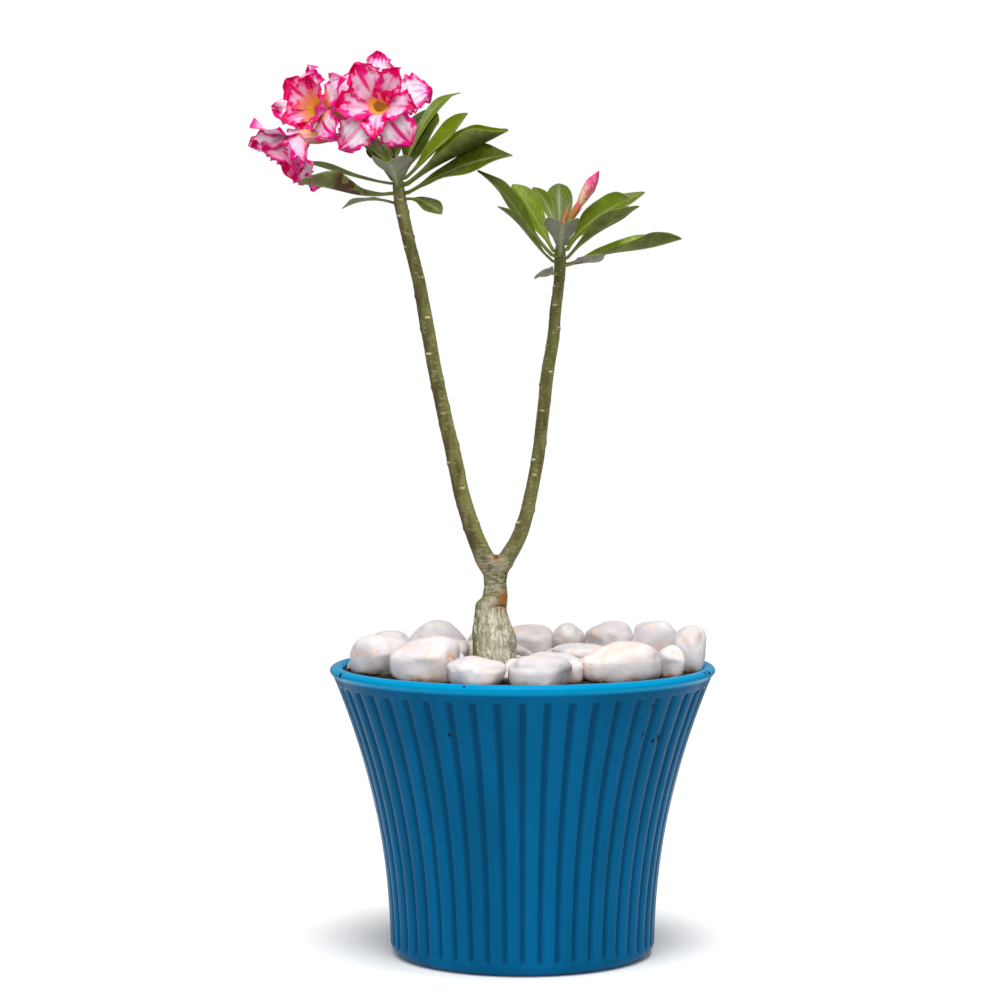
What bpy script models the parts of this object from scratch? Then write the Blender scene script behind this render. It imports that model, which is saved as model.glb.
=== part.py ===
"""Potted desert rose (adenium): a fluted plastic pot, soil, pebbles, forked stem, leaves and flowers.

Lengths in the tables are millimetres in the whole object's frame: +Z is up, the front faces -Y, and
the origin is the centre of the pot's underside. Each sub-part is one closed solid with its own
origin and material, hung on an empty, and neighbours are kept CLEARANCE apart.
"""
import math

import bmesh
import bpy
from mathutils import Matrix, Quaternion, Vector

MM = 0.001
CLEARANCE = 0.35
SHARP_ANGLE = math.radians(50)
UP = Vector((0.0, 0.0, 1.0))

# Materials: base colour, roughness, metallic
MATERIALS = {
    "pot": ((0.005, 0.125, 0.29), 0.25, 0.0),
    "soil": ((0.02, 0.014, 0.01), 0.95, 0.0),
    "caudex_bark": ((0.42, 0.39, 0.29), 0.8, 0.0),
    "stem_bark": ((0.17, 0.155, 0.06), 0.55, 0.0),
    "leaf": ((0.1, 0.15, 0.02), 0.4, 0.0),
    "flower_stalk": ((0.25, 0.3, 0.08), 0.5, 0.0),
    "petal_outer": ((0.88, 0.5, 0.72), 0.6, 0.0),
    "petal_inner": ((0.8, 0.06, 0.25), 0.6, 0.0),
    "bud": ((0.8, 0.15, 0.3), 0.6, 0.0),
    "pebble": ((0.8, 0.75, 0.74), 0.7, 0.0),
}

# Pot, outside
FLUTES = 48
FLUTE_DEPTH = 1.5
FLUTE_FLOOR = 0.09        # half the groove's floor, as a share of one flute
FLUTE_MOUTH = 0.16        # half the groove's mouth, as a share of one flute
WALL_FOOT_RADIUS = 86.0
WALL_FLARE = 30.8         # growth of the radius from the foot up to FLARE_HEIGHT
FLARE_HEIGHT = 166.7
FLARE_POWER = 2.05
FOOT_CORNER = ((78.0, 0.0), (82.4, 1.2), (85.4, 4.4))    # radius, height
PLAIN_FOOT = 9.0          # height of the smooth band under the flutes
FLUTE_ROWS = (11.5, 50.0, 90.0, 125.0, 152.0, 176.5)
PLAIN_TOP_ROWS = (178.5, 181.0)
BEAD_RADIUS = 120.75
BEAD_HEIGHT = 185.2
BEAD_HALF_WIDTH = 4.25
BEAD_HALF_HEIGHT = 3.0
BEAD_STEPS = (-45, 0, 45, 90, 135, 180)                  # degrees round the rolled rim

# Pot, inside and underneath
WALL = 3.3
INNER_ROWS = (181.0, 140.0, 90.0, 30.0, 12.0)
FLOOR_RADIUS = WALL_FOOT_RADIUS - 6.0
FLOOR_TOP = 5.5
RECESS_TOP = 3.0
FOOT_INNER = 72.5
PAD_RADIUS = 12.0
DRAFT = 1.0               # slope of the recess's and the pad's sides
DRAIN_RADIUS = 6.0
DRAIN_RING = 45.0
DRAINS = 4
DRAIN_SIDES = 16
CUT_PAST = 2.0            # how far a cutter runs past the face it opens

# Soil
SOIL_TOP = 184.0
SOIL_TOP_RADIUS = 116.2   # clear of the rolled rim, which stands in over the soil
SOIL_BOTTOM = FLOOR_TOP + CLEARANCE
SOCKET_GAP = 0.5
SOCKET_CUT_TOP = 200.0    # the socket's cutter follows the swollen base up to here

# Swollen base, bottom to top: height, centre x, half width, half depth
CAUDEX = (
    (162.0, -18.0, 6.0, 6.0), (170.0, -18.0, 12.0, 11.5), (184.0, -18.0, 14.2, 13.8),
    (197.0, -18.3, 14.2, 13.6), (207.0, -18.4, 14.0, 13.0), (213.0, -19.6, 12.8, 12.0),
    (218.0, -20.0, 11.4, 11.0), (224.0, -20.7, 10.2, 10.0), (229.5, -20.2, 10.6, 9.8),
    (232.5, -18.8, 9.2, 9.0), (236.0, -17.5, 8.2, 8.6), (244.0, -17.4, 8.1, 8.4),
    (248.4, -17.0, 9.3, 8.6), (252.0, -17.5, 12.0, 8.2), (256.0, -17.7, 13.2, 7.2),
)
CAUDEX_SIDES = 16

# Stems, bottom to top: x, y, z, radius
STEM_LEFT = (
    (-24.2, 0.0, 256.4, 6.6), (-27.6, 0.0, 264.0, 5.9), (-34.2, -1.0, 282.0, 5.4),
    (-38.3, -2.0, 295.2, 5.2), (-43.8, -3.0, 321.0, 5.0), (-50.5, -4.0, 350.3, 4.7),
    (-56.6, -4.0, 379.4, 4.5), (-61.8, -3.5, 408.4, 4.5), (-67.2, -2.0, 437.5, 4.2),
    (-74.3, -1.0, 466.4, 4.1), (-78.5, 0.0, 485.7, 4.2), (-80.0, 0.0, 497.0, 3.8),
    (-80.4, 0.0, 508.0, 2.6),
)
STEM_RIGHT = (
    (-10.9, 0.0, 256.4, 5.5), (-3.9, 0.0, 267.9, 5.0), (1.9, 1.0, 283.5, 4.6),
    (5.5, 2.0, 299.1, 4.3), (9.7, 3.0, 321.0, 4.2), (13.2, 4.0, 350.3, 4.1),
    (16.4, 4.0, 379.4, 4.2), (19.7, 3.0, 398.8, 4.0), (21.3, 2.0, 418.0, 3.8),
    (23.6, 1.0, 437.5, 3.6), (24.2, 0.0, 449.0, 3.9), (24.2, 0.0, 456.0, 3.5),
    (24.2, 0.0, 463.0, 2.2),
)
STEM_SIDES = 12

# Leaves: number, height on the stem, azimuth, rise at the base, rise at the tip, length, width,
# roll about the midrib, and fold of each half. Angles are degrees; azimuth 0 is +X, -90 the front.
LEAVES_LEFT = (
    (1, 499.5, 172, 10, 19, 62, 16, -12, 12),
    (2, 493.0, -160, -2, 12, 63, 23, -6, 52),
    (3, 487.0, 150, 18, -25, 41, 9, 0, 25),
    (4, 489.5, -36, 0, -40, 31, 13, -30, 10),
    (5, 497.0, -94, 22, 12, 46, 30, 0, 32),
    (6, 502.5, 45, 52, 44, 57, 28, 0, 12),
    (7, 505.5, 52, 68, 18, 85, 9, -20, 20),
    (8, 502.0, -4, 40, 52, 59, 22, -35, 25),
    (9, 497.5, -14, 32, 22, 77, 31, -25, 45),
    (10, 492.5, -20, 30, 6, 77, 27, -42, 14),
    (11, 500.5, 134, 50, 40, 84, 24, 0, 12),
    (12, 505.5, 106, 40, 18, 54, 26, 35, 10),
)
LEAVES_RIGHT = (
    (1, 452.0, -163, 52, 42, 75, 29, 45, 10),
    (2, 448.5, -144, 42, 34, 57, 10, 5, 34),
    (3, 455.0, 152, 60, 52, 54, 19, 30, 12),
    (4, 460.5, 116, 74, 18, 55, 10, 25, 15),
    (5, 455.5, 91, 64, 46, 56, 18, 0, 14),
    (6, 452.0, -89, 32, 16, 50, 26, 0, 34),
    (7, 456.0, -8, 57, 22, 53, 26, -48, 8),
    (8, 459.5, 32, 40, 20, 72, 18, -25, 20),
    (9, 450.5, -33, 41, 21, 64, 18, 18, 26),
    (10, 446.5, -8, 16, 10, 76, 25, -34, 40),
    (11, 446.5, -48, 2, 18, 38, 14, 12, 14),
    (12, 441.0, -118, 3, -5, 25, 14, -32, 10),
)
# Share of the length, share of the half width, and half thickness along a leaf
LEAF_ROWS = (
    (0.0, 0.13, 0.75), (0.12, 0.16, 0.7), (0.30, 0.42, 0.6), (0.48, 0.80, 0.55),
    (0.64, 1.0, 0.5), (0.78, 0.93, 0.45), (0.91, 0.62, 0.35),
)
LEAF_TIP_LIFT = 0.2       # share of the width that a folded tip stands over the midrib's end
STALK_GAP = CLEARANCE + 0.3

# Flowers: number, radius of the outer petals, turn about the facing direction in degrees, then
# foot of the pedicel, foot of the tube, centre of the throat and facing direction
FLOWERS = (
    (1, 31.0, 10, (-79.2, -0.6, 508.6), (-84.0, 12.0, 525.0), (-91.5, -11.0, 548.5), (-0.22, -0.93, 0.30)),
    (2, 29.0, 26, (-82.4, -1.0, 508.6), (-116.0, -3.0, 529.0), (-142.0, -9.5, 527.2), (-0.62, -0.30, -0.72)),
    (3, 24.0, 0, (-81.2, 1.9, 508.6), (-110.0, 12.0, 541.0), (-131.0, 3.0, 551.0), (-0.68, -0.62, 0.40)),
)
PETALS = 5
FLOWER_SIDES = 20
TUBE_FOOT_RADIUS = 2.0
TUBE_MIDDLE_RADIUS = 3.8
THROAT_RADIUS = 6.2
THROAT_WALL = 1.2
THROAT_DEPTH = 9.0
CALYX_RADIUS = 2.5
# Petals, from the throat up the outside to the edge and back down the inside: share of the petal
# radius, height over the throat, and how deeply the five lobes are cut
OUTER_PETAL_ROWS = (
    (0.42, 3.0, 0.0), (0.74, 4.6, 0.12), (1.0, 4.4, 0.3),
    (0.99, 5.4, 0.3), (0.73, 5.7, 0.12), (0.40, 4.2, 0.0),
)
INNER_PETAL_ROWS = (
    (0.10, 1.2, 0.0), (0.36, 7.0, 0.08), (0.56, 11.0, 0.3), (0.55, 11.9, 0.3), (0.33, 8.3, 0.08),
)
INNER_PETAL_TURN = 36     # the inner petals stand between the outer ones
INNER_PETAL_FOOT = 0.3
INNER_PETAL_FLOOR = 3.0

# Flower stalks: share of the way and radius, then share of the way and share of the calyx radius
STALK_FOOT_RADIUS = 1.0
STALK_ROWS = ((0.35, 1.1), (0.7, 1.3))
CALYX_ROWS = ((0.84, 1.0), (1.0, 0.95))
STALK_BEND = 0.45         # how far before its end a stalk turns into the end's direction
STALK_SIDES = 8

# Buds on the right stem: foot of the pedicel (large one only), foot of the bud, tip, greatest radius
BUD = ((25.0, -0.4, 463.5), (33.5, -3.0, 481.0), (49.2, -3.0, 507.5), 3.9)
SMALL_BUD = ((23.0, 0.9, 463.5), (30.0, 5.0, 486.0), 1.5)
BUD_CALYX = 0.62          # radius of a bud's calyx as a share of the bud's
BUD_SIDES = 10
BUD_ROWS = ((0.0, 0.5), (0.2, 0.66), (0.45, 0.9), (0.62, 1.0), (0.8, 0.68), (0.93, 0.28))

# Pebbles: centre x, centre y, half length, half width, half height, turn in degrees
PEBBLES = (
    (-91.0, -28.0, 20.0, 20.5, 13.0, 0), (-61.5, -67.5, 22.5, 18.5, 14.4, -12),
    (-28.4, -93.0, 18.8, 17.5, 9.6, 0), (11.0, -94.5, 20.0, 17.5, 10.0, 0),
    (31.0, -74.0, 7.5, 6.5, 7.5, 0), (62.9, -66.0, 27.0, 16.0, 12.6, 28),
    (93.5, -40.0, 9.0, 10.5, 10.3, 20), (107.5, -7.0, 11.5, 18.0, 14.8, 0),
    (88.0, 34.0, 16.0, 15.0, 14.8, 0), (58.0, 66.0, 18.5, 16.0, 13.2, -30),
    (30.5, 86.5, 12.0, 14.0, 11.5, 0), (4.0, 64.0, 16.5, 16.0, 12.0, 0),
    (-24.5, 79.0, 12.5, 15.0, 11.5, 0), (-57.5, 63.0, 19.5, 17.0, 13.4, 20),
    (-88.5, 24.0, 16.5, 20.0, 12.0, 10), (-52.0, -25.0, 17.0, 15.0, 9.5, 30),
    (-50.5, 18.0, 16.0, 16.0, 10.0, 0), (18.5, -49.0, 20.0, 17.0, 8.2, 15),
    (38.0, 12.0, 20.0, 17.0, 8.5, -20),
)
DENT = 0.05               # depth of a pebble's soft dents, as a share of its size
FACET = 0.03


# ---------------------------------------------------------------- placing

def finish(slot):
    """The slot's material, a Principled BSDF made on first use."""
    if slot in bpy.data.materials:
        return bpy.data.materials[slot]
    colour, roughness, metallic = MATERIALS[slot]
    made = bpy.data.materials.new(slot)
    made.use_nodes = True
    shader = made.node_tree.nodes["Principled BSDF"]
    shader.inputs["Base Color"].default_value = (*colour, 1.0)
    shader.inputs["Roughness"].default_value = roughness
    shader.inputs["Metallic"].default_value = metallic
    return made


def hang(obj, parent, point, rotation=Quaternion()):
    """Link an object and set it at a point of the whole object's frame, under unturned empties."""
    bpy.context.scene.collection.objects.link(obj)
    obj.parent = parent
    obj.location = Vector(point) * MM
    while parent:
        obj.location -= parent.location
        parent = parent.parent
    obj.rotation_mode = "QUATERNION"
    obj.rotation_quaternion = rotation
    return obj


def add_empty(name, point=(0.0, 0.0, 0.0), parent=None):
    """Empty that sub-parts hang on."""
    return hang(bpy.data.objects.new(name, None), parent, point)


def add_solid(name, slot, shape, parent, point=(0.0, 0.0, 0.0), rotation=Quaternion()):
    """Closed solid from local millimetre vertices and faces, smooth except at sharp edges."""
    verts, faces = shape
    mesh = bpy.data.meshes.new(name)
    mesh.from_pydata([Vector(v) * MM for v in verts], [], faces)
    bm = bmesh.new()
    bm.from_mesh(mesh)
    bmesh.ops.recalc_face_normals(bm, faces=bm.faces)
    bmesh.ops.triangulate(bm, faces=bm.faces)
    bm.to_mesh(mesh)
    bm.free()
    mesh.shade_smooth()
    mesh.set_sharp_from_angle(angle=SHARP_ANGLE)
    mesh.materials.append(finish(slot))
    return hang(bpy.data.objects.new(name, mesh), parent, point, rotation)


def cut(target, cutter):
    """Subtract a hidden cutter from a solid with an exact Boolean modifier."""
    cutter.hide_render = True
    cutter.display_type = "WIRE"
    boolean = target.modifiers.new(cutter.name, "BOOLEAN")
    boolean.operation = "DIFFERENCE"
    boolean.solver = "EXACT"
    boolean.object = cutter


# ---------------------------------------------------------------- rings and skins

def ring(centre, axis, radius, sides, reach=None):
    """Points around a centre, square to an axis; reach gives each angle its own radius."""
    spin = UP.rotation_difference(Vector(axis))
    points = []
    for i in range(sides):
        angle = math.tau * i / sides
        length = reach(angle) if reach else radius
        points.append(Vector(centre) + spin @ Vector((math.cos(angle), math.sin(angle), 0.0)) * length)
    return points


def skin(rings, start=None, end=None):
    """Close a stack of equal rings; start and end are pole points, or None for a flat cap."""
    sides = len(rings[0])
    verts = [v for points in rings for v in points]
    faces = []
    for row in range(len(rings) - 1):
        low = row * sides
        for i in range(sides):
            j = (i + 1) % sides
            faces.append((low + i, low + j, low + sides + j, low + sides + i))
    for pole, first in ((start, 0), (end, (len(rings) - 1) * sides)):
        loop = [first + i for i in range(sides)]
        if pole is None:
            faces.append(tuple(loop))
            continue
        verts.append(pole)
        faces.extend((loop[i], loop[(i + 1) % sides], len(verts) - 1) for i in range(sides))
    return verts, faces


# ---------------------------------------------------------------- pot and soil

def wall_radius(height):
    """Outside radius of the pot's wall, on the ribs."""
    return WALL_FOOT_RADIUS + WALL_FLARE * (height / FLARE_HEIGHT) ** FLARE_POWER


def pot_ring(per_flute, radius, height, grooved=False):
    """Level pot ring with 4 points a flute for grooves, 2 for smooth bands and 1 for the inside."""
    offsets = (-FLUTE_MOUTH, -FLUTE_FLOOR, FLUTE_FLOOR, FLUTE_MOUTH)
    kept = {4: offsets, 2: (offsets[0], offsets[3]), 1: offsets[:1]}[per_flute]
    points = []
    for flute in range(FLUTES):
        for offset in kept:
            angle = -math.pi / 2 + math.tau * (flute + offset) / FLUTES
            on_floor = grooved and abs(offset) == FLUTE_FLOOR
            reach = radius - FLUTE_DEPTH * on_floor
            points.append((reach * math.cos(angle), reach * math.sin(angle), height))
    return points


def bridge(lower, upper):
    """Faces between two pot rings given as index lists, the denser one's extra points fanned."""
    if len(lower) < len(upper):
        lower, upper = upper, lower
    per_flute = len(lower) // FLUTES
    stops = range(per_flute) if len(lower) == len(upper) else {2: (0,), 4: (0, 3)}[per_flute]
    meets = [flute * per_flute + stop for flute in range(FLUTES) for stop in stops] + [len(lower)]
    faces = []
    for i in range(len(upper)):
        dense = [lower[k % len(lower)] for k in range(meets[i], meets[i + 1] + 1)]
        faces.append(tuple(dense + [upper[(i + 1) % len(upper)], upper[i]]))
    return faces


def revolve(rings, first_pole, last_pole):
    """Skin a run of pot rings of mixed density and close both ends on the axis."""
    verts, loops, faces = [], [], []
    for points in rings:
        loops.append(list(range(len(verts), len(verts) + len(points))))
        verts.extend(points)
    for lower, upper in zip(loops, loops[1:]):
        faces.extend(bridge(lower, upper))
    for pole, loop in ((first_pole, loops[0]), (last_pole, loops[-1])):
        verts.append(pole)
        faces.extend((loop[i], loop[(i + 1) % len(loop)], len(verts) - 1) for i in range(len(loop)))
    return verts, faces


def make_pot(parent):
    """Pot with a foot ring and a centre pad, fluted flared wall, rolled rim and drain holes."""
    rings = [
        pot_ring(1, PAD_RADIUS, 0.0),
        pot_ring(1, PAD_RADIUS + DRAFT, RECESS_TOP),
        pot_ring(1, FOOT_INNER, RECESS_TOP),
        pot_ring(1, FOOT_INNER + DRAFT, 0.0),
    ]
    rings += [pot_ring(2, radius, height) for radius, height in FOOT_CORNER]
    rings.append(pot_ring(2, wall_radius(PLAIN_FOOT), PLAIN_FOOT))
    rings += [pot_ring(4, wall_radius(height), height, grooved=True) for height in FLUTE_ROWS]
    rings += [pot_ring(2, wall_radius(height), height) for height in PLAIN_TOP_ROWS]
    for angle in map(math.radians, BEAD_STEPS):
        radius = BEAD_RADIUS + BEAD_HALF_WIDTH * math.cos(angle)
        rings.append(pot_ring(2, radius, BEAD_HEIGHT + BEAD_HALF_HEIGHT * math.sin(angle)))
    rings += [pot_ring(1, wall_radius(height) - WALL, height) for height in INNER_ROWS]
    rings.append(pot_ring(1, FLOOR_RADIUS, FLOOR_TOP))
    pot = add_solid("pot", "pot", revolve(rings, (0.0, 0.0, 0.0), (0.0, 0.0, FLOOR_TOP)), parent)
    for i in range(DRAINS):
        angle = math.tau * (i + 0.5) / DRAINS
        centre = (DRAIN_RING * math.cos(angle), DRAIN_RING * math.sin(angle), 0.0)
        heights = (-CUT_PAST, FLOOR_TOP + CUT_PAST)
        ends = [ring((0.0, 0.0, height), UP, DRAIN_RADIUS, DRAIN_SIDES) for height in heights]
        cut(pot, add_solid(f"drain_cutter_{i}", "pot", skin(ends), pot, centre))


def make_soil(parent):
    """Soil filling the pot, with a socket around the buried part of the swollen base."""
    rings = [pot_ring(1, FLOOR_RADIUS - CLEARANCE, SOIL_BOTTOM)]
    for height in sorted(INNER_ROWS):
        rings.append(pot_ring(1, wall_radius(height) - WALL - CLEARANCE, height))
    rings.append(pot_ring(1, SOIL_TOP_RADIUS, SOIL_TOP))
    soil = add_solid("soil", "soil", revolve(rings, (0.0, 0.0, SOIL_BOTTOM), (0.0, 0.0, SOIL_TOP)), parent)
    buried = [row for row in CAUDEX if row[0] < SOCKET_CUT_TOP]
    grown = [(height, x, half_x + SOCKET_GAP, half_y + SOCKET_GAP) for height, x, half_x, half_y in buried]
    grown[0] = (grown[0][0] - SOCKET_GAP, *grown[0][1:])
    cut(soil, add_solid("root_cutter", "soil", skin(caudex_rings(grown)), soil))


# ---------------------------------------------------------------- base and stems

def caudex_rings(rows):
    """Level elliptical rings of the swollen base."""
    rings = []
    for height, x, half_x, half_y in rows:
        points = ring((0.0, 0.0, 0.0), UP, 1.0, CAUDEX_SIDES)
        rings.append([(x + half_x * p.x, half_y * p.y, height) for p in points])
    return rings


def make_caudex(parent, foot):
    """Swollen base, from its buried foot to the fork."""
    rings = [[Vector(p) - Vector(foot) for p in points] for points in caudex_rings(CAUDEX)]
    add_solid("caudex", "caudex_bark", skin(rings), parent, foot)


def make_stem(name, rows, parent):
    """Round stem along its centre points, cut level where it leaves the fork."""
    foot = Vector(rows[0][:3])
    centres = [Vector(row[:3]) - foot for row in rows]
    rings = [ring(centres[0], UP, rows[0][3], STEM_SIDES)]
    for i in range(1, len(rows)):
        axis = centres[min(i + 1, len(rows) - 1)] - centres[i - 1]
        rings.append(ring(centres[i], axis, rows[i][3], STEM_SIDES))
    add_solid(name, "stem_bark", skin(rings), parent, foot)


def stem_point(rows, height):
    """Centre and radius of a stem at a height."""
    for low, high in zip(rows, rows[1:]):
        if low[2] <= height <= high[2]:
            share = (height - low[2]) / (high[2] - low[2])
            mixed = [a + (b - a) * share for a, b in zip(low, high)]
            return Vector(mixed[:3]), mixed[3]
    raise ValueError(f"no stem at height {height}")


# ---------------------------------------------------------------- leaves

def leaf_axes(rise, roll):
    """Directions along a leaf that points to local +X, towards its right edge, and upward."""
    along = Vector((math.cos(rise), 0.0, math.sin(rise)))
    side = Vector((0.0, -1.0, 0.0))
    turn = Matrix.Rotation(-roll, 3, along)
    return along, turn @ side, turn @ side.cross(along)


def make_leaf(name, stem, row, parent):
    """Leaf blade on a short stalk: an arched midrib with a folded, thin lens section."""
    _, height, azimuth, base_rise, tip_rise, length, width, roll, fold = row
    azimuth, base_rise, tip_rise, roll, fold = map(math.radians, (azimuth, base_rise, tip_rise, roll, fold))
    point = Vector()
    rings, last = [], 0.0
    for share, breadth, half_thick in LEAF_ROWS:
        middle_rise = base_rise + (tip_rise - base_rise) * (share + last) / 2
        point = point + leaf_axes(middle_rise, roll)[0] * length * (share - last)
        last = share
        _, side, up = leaf_axes(base_rise + (tip_rise - base_rise) * share, roll)
        edge = width / 2 * breadth
        lift = up * edge * math.sin(fold)
        reach = side * edge * math.cos(fold)
        keel = up * half_thick
        rings.append([point + reach + lift, point + keel, point - reach + lift, point - keel])
    along, _, up = leaf_axes(tip_rise, roll)
    tip = point + along * length * (1.0 - last) + up * width * LEAF_TIP_LIFT * math.sin(fold)
    centre, radius = stem_point(stem, height)
    gap = radius + STALK_GAP + LEAF_ROWS[0][2] * math.sin(abs(base_rise))
    foot = centre + Vector((math.cos(azimuth), math.sin(azimuth), 0.0)) * gap
    add_solid(name, "leaf", skin(rings, end=tip), parent, foot, Quaternion(UP, azimuth))


# ---------------------------------------------------------------- flowers and buds

def petal_ring(radius, height, lobe, turn):
    """Ring around a flower's local axis, pulled in between the five petals by the lobe share."""
    def reach(angle):
        return radius * (1.0 - lobe * (0.5 - 0.5 * math.cos(PETALS * (angle - math.radians(turn)))))
    return ring((0.0, 0.0, height), UP, radius, FLOWER_SIDES, reach)


def make_pedicel(name, foot, top, end_axis, calyx_radius, parent):
    """Thin flower stalk that curves into the end axis and widens into the calyx."""
    top = Vector(top) - Vector(foot)
    bend = top - Vector(end_axis) * top.length * STALK_BEND
    rings = [ring((0.0, 0.0, 0.0), UP, STALK_FOOT_RADIUS, STALK_SIDES)]
    calyx = tuple((share, calyx_radius * swell) for share, swell in CALYX_ROWS)
    for share, radius in STALK_ROWS + calyx:
        centre = bend * 2 * share * (1 - share) + top * share ** 2
        axis = bend * (1 - share) + (top - bend) * share
        rings.append(ring(centre, axis, radius, STALK_SIDES))
    add_solid(name, "flower_stalk", skin(rings), parent, foot)


def make_flower(row, parent):
    """Pedicel with calyx, trumpet tube with five outer petals, and the inner ring of petals."""
    number, radius, turn, stalk_foot, tube_foot, throat, facing = row
    tube_foot, throat = Vector(tube_foot), Vector(throat)
    axis = (throat - tube_foot).normalized()
    make_pedicel(f"pedicel_{number}", stalk_foot, tube_foot - axis * CLEARANCE, axis, CALYX_RADIUS, parent)

    pose = UP.rotation_difference(Vector(facing))
    foot = pose.inverted() @ (tube_foot - throat)
    axis = pose.inverted() @ axis
    lean = (axis + UP).normalized()
    rings = [
        ring(foot, axis, TUBE_FOOT_RADIUS, FLOWER_SIDES),
        ring(foot / 2, axis, TUBE_MIDDLE_RADIUS, FLOWER_SIDES),
        ring((0.0, 0.0, 0.0), lean, THROAT_RADIUS, FLOWER_SIDES),
    ]
    rings += [petal_ring(radius * share, height, lobe, turn) for share, height, lobe in OUTER_PETAL_ROWS]
    rings.append(ring((0.0, 0.0, CLEARANCE), UP, THROAT_RADIUS - THROAT_WALL, FLOWER_SIDES))
    shape = skin(rings, start=foot, end=-lean * THROAT_DEPTH)
    add_solid(f"petals_outer_{number}", "petal_outer", shape, parent, throat, pose)

    rings = []
    for share, height, lobe in INNER_PETAL_ROWS:
        rings.append(petal_ring(radius * share, height, lobe, turn + INNER_PETAL_TURN))
    shape = skin(rings, start=(0.0, 0.0, INNER_PETAL_FOOT), end=(0.0, 0.0, INNER_PETAL_FLOOR))
    add_solid(f"petals_inner_{number}", "petal_inner", shape, parent, throat, pose)


def make_bud(name, foot, tip, radius, parent):
    """Closed pointed bud along its local +Z."""
    axis = Vector(tip) - Vector(foot)
    rings = []
    for share, swell in BUD_ROWS:
        rings.append(ring((0.0, 0.0, axis.length * share), UP, radius * swell, BUD_SIDES))
    shape = skin(rings, end=(0.0, 0.0, axis.length))
    add_solid(name, "bud", shape, parent, foot, UP.rotation_difference(axis))


def make_buds(parent):
    """Stalked bud and the small one beside it."""
    stalk_foot, foot, tip, radius = BUD
    axis = (Vector(tip) - Vector(foot)).normalized()
    stalk_end = Vector(foot) - axis * CLEARANCE
    make_pedicel("pedicel_bud", stalk_foot, stalk_end, axis, radius * BUD_CALYX, parent)
    make_bud("bud", foot, tip, radius, parent)
    make_bud("bud_small", *SMALL_BUD, parent)


# ---------------------------------------------------------------- pebbles

def make_pebble(number, row, parent):
    """Rounded stone with soft dents, resting just over the soil."""
    x, y, half_length, half_width, half_height, turn = row
    bm = bmesh.new()
    bmesh.ops.create_icosphere(bm, subdivisions=2, radius=1.0)
    phase = 1.7 * number
    for vert in bm.verts:
        p = vert.co
        dent = DENT * math.sin(2.3 * p.x + phase) * math.cos(1.9 * p.y - phase)
        facet = FACET * abs(math.sin(3.1 * p.z + phase))
        vert.co = p * (1.0 + dent - facet)
    faces = [tuple(v.index for v in face.verts) for face in bm.faces]
    verts = [(v.co.x * half_length, v.co.y * half_width, v.co.z * half_height) for v in bm.verts]
    bm.free()
    height = SOIL_TOP + CLEARANCE - min(v[2] for v in verts)
    pose = Quaternion(UP, math.radians(turn))
    add_solid(f"pebble_{number:02d}", "pebble", (verts, faces), parent, (x, y, height), pose)


def main():
    for obj in list(bpy.data.objects):
        bpy.data.objects.remove(obj, do_unlink=True)
    whole = add_empty("potted_desert_rose")
    make_pot(whole)
    make_soil(whole)
    root = (CAUDEX[0][1], 0.0, CAUDEX[0][0])
    plant = add_empty("plant", root, whole)
    make_caudex(plant, root)
    rosettes = {}
    for side, stem, leaves in (("left", STEM_LEFT, LEAVES_LEFT), ("right", STEM_RIGHT, LEAVES_RIGHT)):
        make_stem(f"stem_{side}", stem, plant)
        rosettes[side] = add_empty(f"rosette_{side}", stem[-1][:3], plant)
        for row in leaves:
            make_leaf(f"leaf_{side}_{row[0]:02d}", stem, row, rosettes[side])
    for row in FLOWERS:
        make_flower(row, rosettes["left"])
    make_buds(rosettes["right"])
    mulch = add_empty("pebble_layer", (0.0, 0.0, SOIL_TOP), whole)
    for number, row in enumerate(PEBBLES, start=1):
        make_pebble(number, row, mulch)


main()
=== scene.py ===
"""Looks of the potted desert rose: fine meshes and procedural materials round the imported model.

Tables are millimetres in the whole object's frame (+Z up, the front faces -Y). They start from
part.py's driving dimensions, and some leaves and flowers are posed a little further here. Every
piece is built in that frame and rides on the one body, "root".
"""
import math
import random

import bmesh
import bpy
import numpy as np
from mathutils import Matrix, Quaternion, Vector, noise


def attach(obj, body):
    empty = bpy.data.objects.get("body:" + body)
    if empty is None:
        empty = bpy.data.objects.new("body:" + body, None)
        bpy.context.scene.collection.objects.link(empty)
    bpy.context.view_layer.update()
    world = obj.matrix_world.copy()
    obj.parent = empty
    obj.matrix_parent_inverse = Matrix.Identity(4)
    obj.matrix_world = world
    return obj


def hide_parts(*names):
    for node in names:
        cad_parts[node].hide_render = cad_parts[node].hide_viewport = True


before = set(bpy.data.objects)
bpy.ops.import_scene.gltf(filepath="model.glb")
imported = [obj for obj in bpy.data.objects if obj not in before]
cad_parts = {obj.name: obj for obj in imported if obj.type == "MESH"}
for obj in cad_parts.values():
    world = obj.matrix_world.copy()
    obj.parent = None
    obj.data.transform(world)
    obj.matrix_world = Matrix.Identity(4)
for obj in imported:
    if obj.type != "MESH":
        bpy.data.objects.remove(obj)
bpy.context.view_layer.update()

MM = 0.001
TAU = math.tau
UP = Vector((0.0, 0.0, 1.0))
dice = random.Random(11)

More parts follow.
